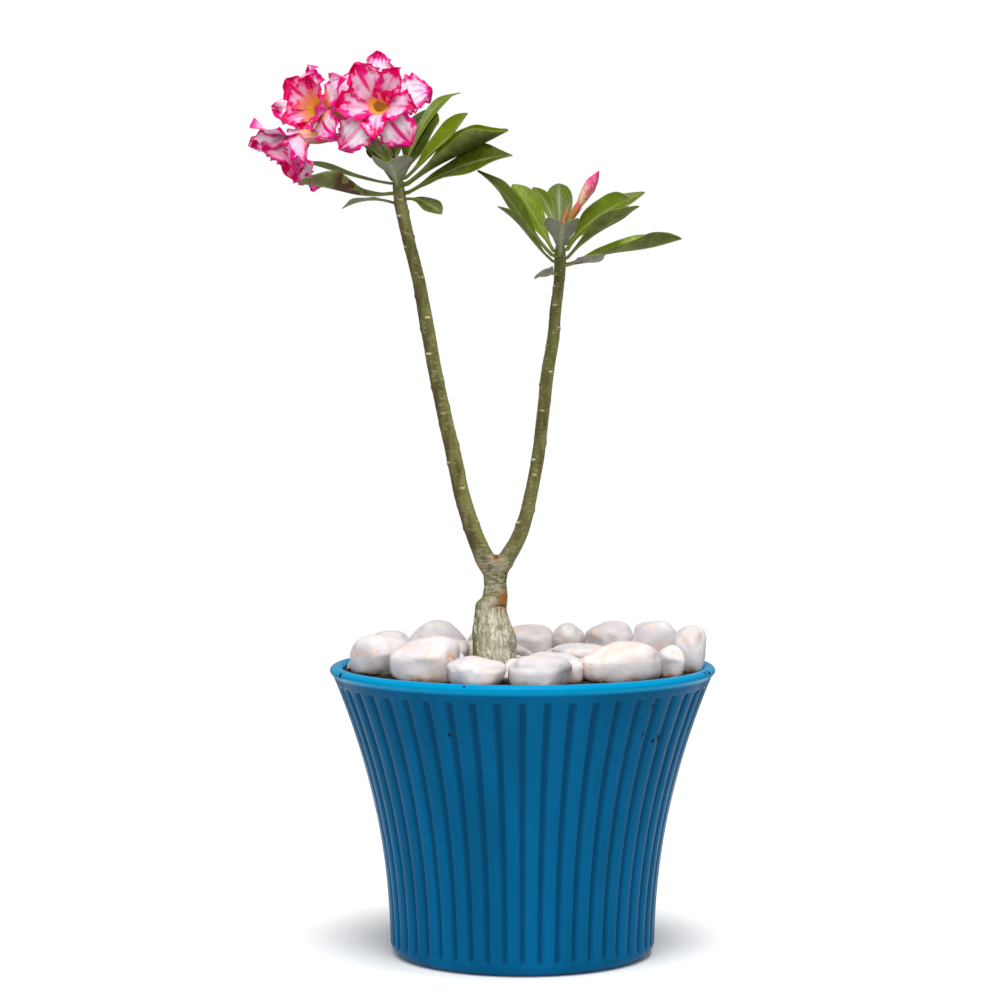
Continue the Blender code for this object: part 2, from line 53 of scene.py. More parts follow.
# Pot
FLUTES = 48
FLUTE_DEPTH = 1.5
FLUTE_FLOOR = (0.0, 0.06)        # half the groove's floor at its foot and head, as a share of a flute
FLUTE_MOUTH = (0.24, 0.21)
FLUTE_FOOT = (6.5, 10.5)          # heights over which the grooves begin, and end
FLUTE_HEAD = (175.2, 177.2)
RIB_CROWN = 0.5
WALL = 3.3
WALL_FOOT_RADIUS = 86.0
WALL_FLARE = 30.8
FLARE_HEIGHT = 166.7
FLARE_POWER = 2.05
BEAD_RADIUS = 120.75
BEAD_HEIGHT = 185.2
BEAD_HALF_WIDTH = 4.25
BEAD_HALF_HEIGHT = 3.0
FOOT_RADIUS = 78.0
FOOT_HEIGHT = 9.0
FOOT_INNER = 72.5
RECESS_TOP = 3.0
FLOOR_TOP = 5.5
FLOOR_RADIUS = 80.0
PAD_RADIUS = 12.0
DRAIN_RADIUS = 6.0
DRAIN_RING = 45.0
DRAINS = 4
FLUTE_COLUMNS = (0.02, 0.06, 0.10, 0.14, 0.18, 0.23, 0.32, 0.43)
FOOT_STEPS = 12
BEAD_ARC = range(-52, 200, 14)      # degrees round the bead, from outside below to inside
INNER_HEIGHTS = (181.0, 160.0, 130.0, 100.0, 60.0, 30.0, 12.0)

# Specks of dried soil on the pot: place and radius
SPECKS = (
    ((86.4, -68.9, 149.2), 2.5), ((84.6, -70.6, 152.2), 1.6), ((89.4, -70.9, 159.5), 1.3),
    ((81.8, -73.6, 147.9), 1.6), ((75.2, -83.0, 153.5), 1.2), ((81.2, -86.1, 170.8), 1.1),
    ((112.9, -42.3, 176.4), 1.6), ((-44.7, -103.1, 154.7), 1.3), ((-35.7, -119.4, 187.2), 1.0),
    ((118.5, -36.0, 187.0), 1.9), ((116.0, -43.0, 186.9), 1.2), ((-116.0, -46.5, 185.4), 2.0),
)

# Soil
SOIL_TOP = 184.0
SOIL_RADIUS = 116.2
SOIL_RINGS = 44
SOIL_SIDES = 160
CRUMBS = 420

# Swollen base, bottom to top: height, centre x, half width, half depth
CAUDEX = (
    (162.0, -18.0, 6.0, 6.0), (170.0, -18.0, 12.0, 11.5), (184.0, -18.0, 14.2, 13.8),
    (197.0, -18.3, 14.2, 13.6), (207.0, -18.4, 14.0, 13.0), (213.0, -19.6, 12.8, 12.0),
    (218.0, -20.0, 11.4, 11.0), (224.0, -20.5, 10.3, 10.0), (228.6, -20.0, 10.2, 9.8),
    (232.0, -18.0, 8.2, 8.8), (236.0, -17.7, 7.7, 8.4), (246.0, -17.7, 7.7, 8.2),
    (249.2, -17.5, 8.6, 8.4), (252.0, -17.6, 11.2, 8.0), (256.0, -17.7, 11.4, 7.0),
    (259.0, -17.7, 8.6, 4.8),
)
# Stems, bottom to top: x, y, z, radius
STEM_LEFT = (
    (-19.4, 0.0, 246.0, 4.6), (-24.2, 0.0, 256.4, 6.4), (-27.6, 0.0, 264.0, 5.9),
    (-34.2, -1.0, 282.0, 5.4), (-38.3, -2.0, 295.2, 5.2), (-43.8, -3.0, 321.0, 5.0),
    (-50.5, -4.0, 350.3, 4.7), (-56.6, -4.0, 379.4, 4.5), (-61.8, -3.5, 408.4, 4.5),
    (-67.2, -2.0, 437.5, 4.2), (-74.3, -1.0, 466.4, 4.1), (-78.5, 0.0, 485.7, 4.2),
    (-80.0, 0.0, 497.0, 3.8), (-80.4, 0.0, 508.0, 2.6),
)
STEM_RIGHT = (
    (-15.6, 0.0, 246.0, 4.4), (-10.9, 0.0, 256.4, 5.4), (-3.9, 0.0, 267.9, 5.0),
    (1.9, 1.0, 283.5, 4.6), (5.5, 2.0, 299.1, 4.3), (9.7, 3.0, 321.0, 4.2),
    (13.2, 4.0, 350.3, 4.1), (16.4, 4.0, 379.4, 4.2), (19.7, 3.0, 398.8, 4.0),
    (21.3, 2.0, 418.0, 3.8), (23.6, 1.0, 437.5, 3.6), (24.2, 0.0, 449.0, 3.9),
    (24.2, 0.0, 456.0, 3.5), (24.2, 0.0, 463.0, 2.2),
)
STEMS = {"left": STEM_LEFT, "right": STEM_RIGHT}
FORK = 262.0              # height where the two stems part
SADDLE = -17.0            # x of the saddle between them
TRUNK_VOXEL = 0.62
SPIRAL = 137.5            # degrees from one leaf, or leaf scar, to the next

# Leaves: number, height on the stem, azimuth, rise at the base, rise at the tip, length, width,
# roll about the midrib, fold of each half, then four shares: how pointed the tip is, how bright
# the upper face is (partly its own tint, partly painted light and shade), how pale the
# underside is (near 0 paints it near black, a painted shade), and how much brown patching
# there is (a painted shadow on left leaf 11)
LEAVES = {
    "left": (
        (1, 499.5, 172, 10, 19, 62, 16, -12, 12, 0.5, 0.15, 0.25, 0.0),
        (2, 493.0, -160, -2, 12, 63, 23, -6, 52, 0.1, 0.5, 0.3, 1.0),
        (3, 487.0, 150, 18, -25, 41, 9, 0, 25, 0.6, 0.25, 0.6, 0.0),
        (4, 489.5, -36, 0, -40, 31, 13, -30, 10, 0.1, 0.14, 0.4, 0.1),
        (5, 497.0, -94, 22, 12, 46, 30, 0, 32, 0.0, 0.4, 0.72, 0.0),
        (6, 502.5, 58, 56, 52, 58, 28, 0, 12, 0.1, 0.12, 0.05, 0.0),
        (7, 505.5, 52, 68, 18, 85, 9, -20, 20, 0.8, 0.5, 0.3, 0.0),
        (8, 502.0, -4, 40, 52, 59, 22, -35, 25, 0.1, 0.6, 0.4, 0.0),
        (9, 497.5, -14, 32, 22, 77, 31, -25, 56, 0.8, 1.0, 0.15, 0.0),
        (10, 492.5, -20, 30, 6, 77, 27, -42, 14, 0.6, 0.13, 0.2, 0.0),
        # leaf 11 sits under the flowers: its low brightness, near-black underside and brown patching are
        # a painted shadow
        (11, 500.5, 134, 50, 40, 84, 24, 0, 12, 0.2, 0.05, 0.0, 0.6),
        (12, 505.5, 106, 40, 18, 54, 26, 35, 10, 0.5, 0.1, 0.0, 0.0),
    ),
    "right": (
        (1, 452.0, -163, 52, 42, 75, 29, 36, 12, 0.9, 0.24, 0.35, 0.0),
        (2, 448.5, -144, 42, 34, 57, 10, 5, 34, 0.2, 0.3, 0.22, 0.0),
        (3, 455.0, 152, 60, 52, 54, 19, 30, 12, 0.0, 0.62, 0.5, 0.0),
        (4, 460.5, 116, 74, 18, 55, 10, 25, 15, 0.2, 0.3, 0.4, 0.0),
        (5, 455.5, 91, 64, 46, 56, 18, 0, 14, 0.0, 0.26, 0.4, 0.0),
        (6, 452.0, -89, 32, 16, 50, 26, 0, 34, 0.0, 0.5, 0.65, 0.0),
        (7, 456.0, -8, 57, 22, 53, 26, -48, 8, 0.0, 0.42, 0.5, 0.0),
        (8, 459.5, 32, 40, 20, 72, 18, -25, 20, 0.6, 0.34, 0.5, 0.0),
        (9, 450.5, -33, 41, 21, 64, 18, 18, 26, 0.5, 0.5, 0.2, 0.0),
        (10, 446.5, -8, 16, 10, 76, 25, -34, 40, 0.4, 0.9, 0.15, 0.0),
        (11, 446.5, -48, 2, 18, 38, 14, 12, 14, 0.6, 0.5, 0.8, 0.9),
        (12, 441.0, -118, 3, -5, 25, 14, -32, 10, 0.0, 0.3, 0.9, 0.0),
    ),
}
# Degrees by which some leaves turn further about their midrib towards the tip
TWISTS = {("right", 10): 66.0, ("left", 9): 10.0}
# Share of the length and share of the half width along a leaf, up to its round tip
LEAF_OUTLINE = (
    (0.0, 0.15), (0.08, 0.13), (0.16, 0.17), (0.30, 0.40), (0.48, 0.78), (0.64, 1.0),
    (0.78, 0.96), (0.90, 0.70),
)
LEAF_TIP = 0.90
LEAF_GRID = (46, 21)      # points along and across
STALK_GAP = 0.65
YOUNG_LEAVES = 5

# Flowers: number, petal length, turn of the whorls, extra rise of the petals, throat radius, reach of
# the throat's colour along the petals, foot of the pedicel, foot of the tube, throat, facing
FLOWERS = (
    (1, 33.0, 0.0, 0.0, 5.0, 0.24, (-79.2, -0.6, 507.0), (-84.0, 12.0, 525.0), (-91.5, -11.0, 548.5),
     (-0.22, -0.93, 0.30)),
    (2, 32.0, -21.0, 32.0, 5.6, 0.26, (-82.4, -1.0, 507.0), (-116.0, -3.0, 529.0), (-141.5, -9.5, 528.5),
     (-0.62, -0.30, -0.72)),
    (3, 28.0, 4.0, 12.0, 6.6, 0.56, (-81.2, 1.9, 507.0), (-110.0, 12.0, 540.0), (-131.0, 3.0, 547.0),
     (-0.66, -0.70, 0.26)),
)
# Petals of each whorl: angle round the throat, share of the flower's petal length, width, rise at
# the foot, rise at the tip, strength of the centre stripe
WHORLS = {
    "outer": (
        (15.0, 1.0, 29.0, 30.0, -8.0, 0.1), (87.0, 0.94, 23.0, 40.0, 0.0, 0.2),
        (159.0, 1.06, 30.0, 28.0, -10.0, 0.3), (231.0, 1.02, 28.0, 30.0, -20.0, 0.5),
        (303.0, 0.98, 28.0, 34.0, -24.0, 1.0),
    ),
    "inner": (
        (51.0, 0.80, 20.0, 60.0, 24.0, 0.3), (123.0, 0.94, 27.0, 56.0, 32.0, 1.0),
        (195.0, 0.82, 24.0, 52.0, 14.0, 0.4), (267.0, 0.74, 20.0, 50.0, 0.0, 0.5),
        (339.0, 0.84, 24.0, 54.0, 10.0, 0.3),
    ),
    "heart": ((28.0, 0.46, 10.0, 76.0, 46.0, 0.5), (74.0, 0.42, 9.0, 80.0, 56.0, 0.5)),
}
# Per whorl: radius of the petals' feet as a share of the throat's, their height, cupping, ruffle,
# tint (0 white to 1 crimson)
WHORL_SHAPES = {
    "outer": (0.90, 0.2, -1.0, 2.8, 0.0),
    "inner": (0.80, -0.8, 3.0, 2.4, 0.6),
    "heart": (0.70, -2.0, 2.0, 1.2, 1.0),
}
PETAL_OUTLINE = (
    (0.0, 0.34), (0.2, 0.54), (0.42, 0.86), (0.60, 1.0), (0.76, 0.88), (0.87, 0.60), (0.94, 0.34),
    (1.0, 0.05),
)
PETAL_GRID = (40, 27)
PETAL_LENGTH = 33.0       # petal length at which the whorls' widths hold
PETAL_HUB = 9.0           # petals curve across round a centre this far beyond the throat's axis
OPEN_MOUTH = 6.0          # a throat wider than this has no heart petals
TUBE_SIDES = 60
TUBE_FOOT_RADIUS = 2.0
TUBE_MIDDLE_RADIUS = 3.8
THROAT_DEPTH = 10.0

# Flower stalks, and the calyx of five sepals at their ends
STALK_RADIUS = 1.25
STALK_SIDES = 14
FLOWER_CALYX = 2.35
BUD_CALYX = 2.3
SEPALS = 5
SEPAL_GRID = (12, 7)

# Buds: foot of the pedicel, foot of the bud, tip, greatest radius
BUD = ((25.0, -0.4, 462.0), (33.5, -3.0, 481.0), (49.2, -3.0, 507.5), 3.9)
SMALL_BUD = ((23.0, 0.9, 463.5), (30.0, 5.0, 486.0), 1.5)
BUD_GRID = (40, 50)       # points along and round
BUD_OUTLINE = (
    (0.0, 0.5), (0.2, 0.66), (0.45, 0.9), (0.6, 1.0), (0.78, 0.78), (0.92, 0.34), (1.0, 0.06),
)

# Pebbles: centre x, centre y, half length, half width, half height, turn in degrees
PEBBLES = (
    (-91.0, -28.0, 20.0, 20.5, 13.0, 0), (-61.5, -67.5, 22.5, 18.5, 14.4, -12),
    (-28.4, -93.0, 18.8, 17.5, 9.6, 0), (11.0, -94.5, 20.0, 17.5, 10.0, 0),
    (31.0, -74.0, 7.5, 6.5, 7.5, 0), (62.9, -66.0, 27.0, 16.0, 12.6, 28),
    (93.5, -40.0, 9.0, 10.5, 10.3, 20), (107.5, -7.0, 11.5, 18.0, 14.8, 0),
    (88.0, 34.0, 16.0, 15.0, 14.8, 0), (58.0, 66.0, 18.5, 16.0, 13.2, -30),
    (30.5, 86.5, 12.0, 14.0, 11.5, 0), (4.0, 64.0, 16.5, 16.0, 12.0, 0),
    (-24.5, 79.0, 12.5, 15.0, 11.5, 0), (-57.5, 63.0, 19.5, 17.0, 13.4, 20),
    (-88.5, 24.0, 16.5, 20.0, 12.0, 10), (-52.0, -25.0, 17.0, 15.0, 9.5, 30),
    (-50.5, 18.0, 16.0, 16.0, 10.0, 0), (18.5, -49.0, 20.0, 17.0, 8.2, 15),
    (38.0, 12.0, 20.0, 17.0, 8.5, -20),
)
STONES = [(x, y, math.sqrt(a * b)) for x, y, a, b, _, _ in PEBBLES]
STONE_PLANES = 9
STONE_EDGE = 8.0          # how sharply a stone's planes meet
FILLER_TRIES = 6000
FILLER_REACH = 112.0
FILLER_LEAST = 6.5        # a gap with less room than this stays empty
FRONT = -35.0             # in front of this y the small stones stay low and within FRONT_REACH
FRONT_REACH = 76.0
BARE_X = -37.0            # the soil stays bare on the left of the trunk, as far as BARE_REACH
BARE_REACH = 26.0

# Studio, in metres: camera, floor, strength of the surroundings' light, and the suns, each with
# its rise and azimuth in degrees, its angular size and its strength
EYE = (0.0, -2.0, 0.4)
AIM = (-0.0146, 0.0, 0.2952)
LENS = 111.24
FLOOR_REACH = 0.6
SURROUNDINGS = 0.33
SUNS = (("key", 77.0, -80.0, 30.0, 2.6), ("front", 35.0, -97.0, 70.0, 1.8))


# ---------------------------------------------------------------- small sums

def smoothstep(low, high, value):
    """0 up to low, 1 from high on, and a smooth rise between."""
    share = np.clip((np.asarray(value, float) - low) / (high - low), 0.0, 1.0)
    return share * share * (3.0 - 2.0 * share)


def band(value, rise, fall):
    """Up over one pair of values and down again over a second pair."""
    return smoothstep(*rise, value) * (1.0 - smoothstep(*fall, value))


def spline(stops, places):
    """Smooth values at places through rows of (place, value, ...), Catmull-Rom between stops."""
    stops = np.asarray(stops, float)
    xs, ys = stops[:, 0], stops[:, 1:]
    slopes = np.gradient(ys, xs, axis=0)
    places = np.clip(np.asarray(places, float), xs[0], xs[-1])
    low = np.clip(np.searchsorted(xs, places, side="right") - 1, 0, len(xs) - 2)
    span = xs[low + 1] - xs[low]
    t = ((places - xs[low]) / span)[:, None]
    span = span[:, None]
    return (
        ys[low] * (2 * t**3 - 3 * t**2 + 1) + slopes[low] * span * (t**3 - 2 * t**2 + t)
        + ys[low + 1] * (3 * t**2 - 2 * t**3) + slopes[low + 1] * span * (t**3 - t**2)
    )


def field(points, size, seed=0.0, detail=0, stretch=(1.0, 1.0, 1.0)):
    """Smooth noise in about -1..1 at millimetre points, with blobs of that size."""
    shift = Vector((seed * 17.3, seed * 5.1, seed * 9.7))
    scale = np.asarray(stretch) / size
    spots = (np.asarray(points, float) * scale).tolist()
    if detail:
        return np.array([noise.fractal(Vector(p) + shift, 0.6, 2.1, detail) for p in spots])
    return np.array([noise.noise(Vector(p) + shift) for p in spots])


# ---------------------------------------------------------------- meshes

def link(name, data):
    """New object in the scene."""
    obj = bpy.data.objects.new(name, data)
    bpy.context.scene.collection.objects.link(obj)
    return obj


def round_angles(sides):
    """Angles of evenly spaced points round a circle."""
    return TAU * np.arange(sides) / sides


def heading(angle):
    """Level unit vector at an angle."""
    return Vector((math.cos(angle), math.sin(angle), 0.0))


def add_piece(name, verts, faces, look, nodes=(), marks=None):
    """Piece from millimetre vertices, riding on the body; marks are its named point values."""
    mesh = bpy.data.meshes.new(name)
    mesh.from_pydata((np.asarray(verts, float) * MM).tolist(), [], faces)
    for label, values in (marks or {}).items():
        layer = mesh.attributes.new(label, "FLOAT", "POINT")
        layer.data.foreach_set("value", np.asarray(values, np.float32))
    bm = bmesh.new()
    bm.from_mesh(mesh)
    bmesh.ops.recalc_face_normals(bm, faces=bm.faces)
    bm.to_mesh(mesh)
    bm.free()
    mesh.shade_smooth()
    mesh.materials.append(look)
    obj = link(name, mesh)
    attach(obj, "root")
    if nodes:
        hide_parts(*nodes)
    return obj


class Bundle:
    """Vertices, faces and point values of several closed bodies that make one piece."""

    def __init__(self):
        self.verts, self.faces, self.marks = [], [], {}

    def add(self, verts, faces, **marks):
        base = len(self.verts)
        self.verts.extend(tuple(v) for v in verts)
        self.faces.extend(tuple(base + i for i in face) for face in faces)
        for label, values in marks.items():
            self.marks.setdefault(label, []).extend(np.broadcast_to(values, len(verts)).tolist())

    def piece(self, name, look, nodes=()):
        return add_piece(name, self.verts, self.faces, look, nodes, self.marks)


def ring_faces(rows, sides, first=0):
    """Quads between rows of closed rings."""
    faces = []
    for row in range(rows - 1):
        low = first + row * sides
        faces.extend(
            (low + i, low + (i + 1) % sides, low + sides + (i + 1) % sides, low + sides + i)
            for i in range(sides)
        )
    return faces


def capped_faces(rows, sides):
    """Faces of stacked rings whose two ends close on poles, the last two vertices."""
    faces = ring_faces(rows, sides)
    foot, top = rows * sides, rows * sides + 1
    last = (rows - 1) * sides
    faces.extend(((i + 1) % sides, i, foot) for i in range(sides))
    faces.extend((last + i, last + (i + 1) % sides, top) for i in range(sides))
    return faces


def tube(centres, radii, sides):
    """Closed round tube along centre points."""
    centres = [Vector(c) for c in centres]
    verts, spin = [], None
    for row, (centre, radius) in enumerate(zip(centres, radii)):
        ahead = centres[min(row + 1, len(centres) - 1)] - centres[max(row - 1, 0)]
        axis = ahead.normalized()
        if spin is None:
            spin = UP.rotation_difference(axis)
        else:
            spin = (spin @ UP).rotation_difference(axis) @ spin
        for angle in round_angles(sides):
            verts.append(centre + spin @ heading(angle) * radius)
    verts += [centres[0], centres[-1]]
    return verts, capped_faces(len(centres), sides)


def leaf_sheet(middle, normals, halves):
    """Closed thin blade: a grid of middle points, pushed out to both sides by its half thickness."""
    rows, columns = middle.shape[:2]
    upper = (middle + normals * halves[..., None]).reshape(-1, 3)
    lower = (middle - normals * halves[..., None]).reshape(-1, 3)
    count = rows * columns
    faces = []
    for row in range(rows - 1):
        for col in range(columns - 1):
            a = row * columns + col
            quad = (a, a + 1, a + columns + 1, a + columns)
            faces.append(quad)
            faces.append(tuple(count + i for i in reversed(quad)))
    border = list(range(columns))
    border += [row * columns + columns - 1 for row in range(1, rows)]
    border += [(rows - 1) * columns + col for col in range(columns - 2, -1, -1)]
    border += [row * columns for row in range(rows - 2, 0, -1)]
    for here, there in zip(border, border[1:] + border[:1]):
        faces.append((there, here, count + here, count + there))
    return np.vstack([upper, lower]), faces


def both_faces(values):
    """Point values of a leaf_sheet, from pairs of grids for its upper and lower points."""
    return {
        label: np.concatenate([np.ravel(upper), np.ravel(lower)])
        for label, (upper, lower) in values.items()
    }


def grid_normals(middle):
    """Unit normals of a grid of points, on the side where along x across points."""
    along = np.gradient(middle, axis=0)
    across = np.gradient(middle, axis=1)
    normals = np.cross(along, across)
    lengths = np.linalg.norm(normals, axis=2, keepdims=True)
    return normals / np.maximum(lengths, 1e-9)


# ---------------------------------------------------------------- materials

class Look:
    """A Principled material under construction, with short calls for the nodes used here."""

    def __init__(self, name, roughness, **sockets):
        self.material = bpy.data.materials.new(name)
        self.material.use_nodes = True
        self.tree = self.material.node_tree
        self.shader = self.tree.nodes["Principled BSDF"]
        self.set("Base Color", (0.5, 0.5, 0.5, 1.0))
        self.set("Roughness", roughness)
        for socket, value in sockets.items():
            self.set(socket.replace("_", " "), value)
        place = self.node("TexCoord", {})["Object"]
        self.spot = self.vector("MULTIPLY", place, (1 / MM,) * 3)

    def set(self, socket, value):
        self.plug(value, self.shader.inputs[socket])

    def plug(self, value, socket):
        """Give a socket a number or a colour, or link it to another node's output."""
        if isinstance(value, bpy.types.NodeSocket):
            self.tree.links.new(value, socket)
        elif isinstance(value, tuple) and len(value) == 3 and socket.type == "RGBA":
            socket.default_value = (*value, 1.0)
        else:
            socket.default_value = value

    def node(self, kind, inputs, **settings):
        """Outputs of a new shader node; a text among its inputs stands for the mark of that name."""
        node = self.tree.nodes.new("ShaderNode" + kind)
        for name, value in settings.items():
            setattr(node, name, value)
        for socket, value in inputs.items():
            self.plug(self.mark(value) if isinstance(value, str) else value, node.inputs[socket])
        return node.outputs

    def mark(self, name):
        """One of the piece's named point values."""
        return self.node("Attribute", {}, attribute_name=name)["Fac"]

    def vector(self, operation, a, b):
        outputs = self.node("VectorMath", {0: a, 1: b}, operation=operation)
        return outputs["Value" if operation == "DISTANCE" else "Vector"]

    def sum(self, operation, a, b):
        return self.node("Math", {0: a, 1: b}, operation=operation)[0]

    def times(self, a, b):
        return self.sum("MULTIPLY", a, b)

    def most(self, a, b):
        return self.sum("MAXIMUM", a, b)

    def noise(self, size, detail, stretch=None, distortion=0.0):
        """Noise whose blobs are about that many millimetres across."""
        place = self.vector("MULTIPLY", self.spot, stretch) if stretch else self.spot
        inputs = {"Vector": place, "Scale": 1.0 / size, "Detail": detail, "Distortion": distortion}
        return self.node("TexNoise", inputs)["Fac"]

    def cells(self, size):
        """Distance from points scattered about that many millimetres apart."""
        return self.node("TexVoronoi", {"Vector": self.spot, "Scale": 1.0 / size})["Distance"]

    def level(self, value, low, high, floor=0.0, top=1.0):
        """Smooth rise from floor to top as the value goes from low to high."""
        inputs = {"Value": value, "From Min": low, "From Max": high, "To Min": floor, "To Max": top}
        return self.node("MapRange", inputs, interpolation_type="SMOOTHSTEP")["Result"]

    def blobs(self, size, detail, low, high, floor=0.0, top=1.0, **shape):
        """Noise of that size, read as a smooth rise between two of its values."""
        return self.level(self.noise(size, detail, **shape), low, high, floor, top)

    def mix(self, share, a, b):
        return self.node("Mix", {"Factor": share, 6: a, 7: b}, data_type="RGBA")[2]

    def coats(self, colour, *coats):
        """A colour with coats over it, each a share and its own colour."""
        for share, coat in coats:
            colour = self.mix(share, colour, coat)
        return colour

    def paint(self, colour, *coats):
        """Give the shader a colour with coats over it."""
        colour = self.coats(colour, *coats)
        self.set("Base Color", colour)
        return colour

    def bump(self, height, distance, strength=1.0):
        """Bump of that many millimetres, on top of any bump already there."""
        inputs = {"Height": height, "Distance": distance * MM, "Strength": strength}
        socket = self.shader.inputs["Normal"]
        if socket.is_linked:
            inputs["Normal"] = socket.links[0].from_socket
        self.plug(self.node("Bump", inputs)["Normal"], socket)

    def glow_through(self, colour, share):
        """Let some light pass, as through a petal or a leaf."""
        through = self.node("BsdfTranslucent", {"Color": colour})[0]
        both = self.node("MixShader", {0: share, 1: self.shader.outputs[0], 2: through})[0]
        self.plug(both, self.tree.nodes["Material Output"].inputs["Surface"])


def pot_look():
    """Glossy moulded blue plastic: painted shade deeper in the grooves, a painted highlight brighter on
    the rim, a little soiled.
    """
    look = Look("blue_plastic", 0.22, Specular_IOR_Level=0.03)
    blue = look.coats(
        (0.0, 0.078, 0.180),
        (look.blobs(40.0, 3.0, 0.35, 0.65, stretch=(1.0, 1.0, 0.2)), (0.0, 0.100, 0.235)),
        # painted shade: the grooves are painted a deeper blue where less light reaches into them
        (look.times("groove", 0.75), (0.0, 0.040, 0.100)),
        # painted highlight: the rolled rim is painted a brighter blue for the glossy light it catches
        ("bead", (0.0, 0.25, 0.48)),
    )
    ragged = look.blobs(1.7, 4.0, 0.3, 0.7, -0.9, 0.9)
    dirt = 0.0
    for place, radius in SPECKS:
        away = look.sum("ADD", look.vector("DISTANCE", look.spot, place), ragged)
        dirt = look.most(dirt, look.level(away, radius + 0.15, radius - 0.15))
    specks = look.level(look.cells(9.0), 0.045, 0.03)
    dirt = look.most(dirt, look.times(specks, look.blobs(30.0, 2.0, 0.60, 0.66)))
    look.paint(blue, (dirt, (0.014, 0.013, 0.012)))
    worn = look.blobs(6.0, 4.0, 0.35, 0.75, 0.19, 0.27)
    look.set("Roughness", look.most(worn, look.times(dirt, 0.8)))
    look.bump(look.noise(14.0, 2.0), 0.25, 0.4)
    look.bump(dirt, 0.3, 0.6)
    return look.material


def soil_look():
    """Nearly black damp potting soil with a few brown fibres."""
    look = Look("potting_soil", 0.95)
    grain = look.noise(1.6, 6.0)
    look.paint(
        (0.006, 0.004, 0.003),
        (look.level(grain, 0.4, 0.7), (0.035, 0.022, 0.014)),
        (look.blobs(3.0, 3.0, 0.66, 0.74, stretch=(1.0, 0.25, 1.0)), (0.09, 0.055, 0.03)),
    )
    look.bump(grain, 1.0)
    return look.material


def pebble_look():
    """Tumbled white quartz: clean white clouded with lilac, rust in the seams and low by the soil."""
    look = Look("white_pebble", 0.5, Specular_IOR_Level=0.25, Subsurface_Weight=0.1)
    look.set("Subsurface Radius", (0.6, 0.5, 0.45))
    look.set("Subsurface Scale", 4 * MM)
    cloud = look.blobs(16.0, 4.0, 0.36, 0.66, distortion=0.6)
    seam = look.times("seam", look.blobs(5.0, 4.0, 0.42, 0.60, top=0.85))
    low = look.times(look.level("low", 0.72, 1.0), look.blobs(6.0, 4.0, 0.40, 0.60))
    holes = look.level(look.cells(5.5), 0.10, 0.055)
    pits = look.times(holes, look.blobs(17.0, 2.0, 0.54, 0.60, top=0.7))
    look.paint(
        (0.70, 0.665, 0.65),
        (cloud, (0.58, 0.535, 0.555)),
        (look.blobs(19.0, 4.0, 0.50, 0.66, top=0.7, distortion=1.0), (0.74, 0.56, 0.46)),
        (look.most(seam, low), (0.50, 0.23, 0.10)),
        (pits, (0.22, 0.14, 0.10)),
    )
    look.set("Roughness", look.level(cloud, 0.0, 1.0, 0.45, 0.62))
    look.bump(look.noise(5.0, 4.0), 0.8, 0.5)
    look.bump(look.noise(1.1, 3.0), 0.12, 0.5)
    return look.material


def trunk_look():
    """Cream-grey wrinkled bark below, turning to olive-green skin up the stems, with painted shade in
    its furrows, recesses and left sides and painted light on its ridges and right flanks.
    """
    look = Look("trunk_bark", 0.6, Specular_IOR_Level=0.2)
    streak = look.noise(1.7, 4.0, (1.0, 1.0, 0.22), 0.5)
    ring = look.blobs(1.7, 4.0, 0.40, 0.60, stretch=(0.28, 0.28, 1.0), distortion=0.6)
    green = look.blobs(8.0, 4.0, 0.52, 0.68, top=0.45, stretch=(1.0, 1.0, 0.6))
    bark = look.coats(
        (0.64, 0.61, 0.48),
        (look.level(streak, 0.40, 0.60), (0.32, 0.31, 0.21)),
        ("neck", look.mix(ring, (0.40, 0.37, 0.25), (0.13, 0.12, 0.06))),
        (look.blobs(6.0, 3.0, 0.45, 0.65, top=0.35, stretch=(1.0, 1.0, 0.5)), (0.50, 0.50, 0.41)),
        # painted shade in the furrows and wrinkles where they are pushed in, and painted light on their
        # raised ridges
        (look.level("hollow_shade", 0.0, 0.9, top=0.6), (0.20, 0.175, 0.10)),
        (look.level("crest_light", 0.0, 1.0, top=0.6), (0.76, 0.72, 0.58)),
        # olive: random green patches, painted shade on the left side of the base, and the neck rings'
        # own olive
        (look.most(green, "left_shade_and_olive"), (0.16, 0.165, 0.045)),
    )
    cross = look.noise(1.5, 3.0, (0.45, 0.45, 1.5), 0.4)
    skin = look.coats(
        (0.165, 0.16, 0.045),
        (look.blobs(6.0, 4.0, 0.3, 0.7, stretch=(1.0, 1.0, 0.15)), (0.078, 0.072, 0.018)),
        (look.blobs(20.0, 3.0, 0.52, 0.70, top=0.45, stretch=(1.0, 1.0, 0.35)), (0.30, 0.29, 0.12)),
        (look.blobs(1.1, 2.0, 0.64, 0.72, top=0.4), (0.36, 0.33, 0.16)),
        # painted light on the stems' right flanks
        ("sunny", (0.28, 0.28, 0.09)),
        (look.level(cross, 0.60, 0.68, top=0.6), (0.42, 0.38, 0.24)),
        (look.level(cross, 0.40, 0.33, top=0.6), (0.05, 0.042, 0.015)),
        # painted shade, brownish, on the stems' left flanks
        ("brown", (0.075, 0.042, 0.022)),
    )
    look.paint(
        bark,
        ("skin", skin),
        ("rust", (0.36, 0.15, 0.035)),
        ("scar", (0.74, 0.62, 0.38)),
        # painted shade, near black, in the crack, pits, leaf-scar gashes and the fork's saddle
        ("deep_shade", (0.06, 0.03, 0.015)),
    )
    look.set("Roughness", look.level("skin", 0.0, 1.0, 0.72, 0.45))
    look.bump(streak, 0.5, 0.6)
    look.bump(look.noise(0.5, 2.0), 0.06, 0.6)
    return look.material


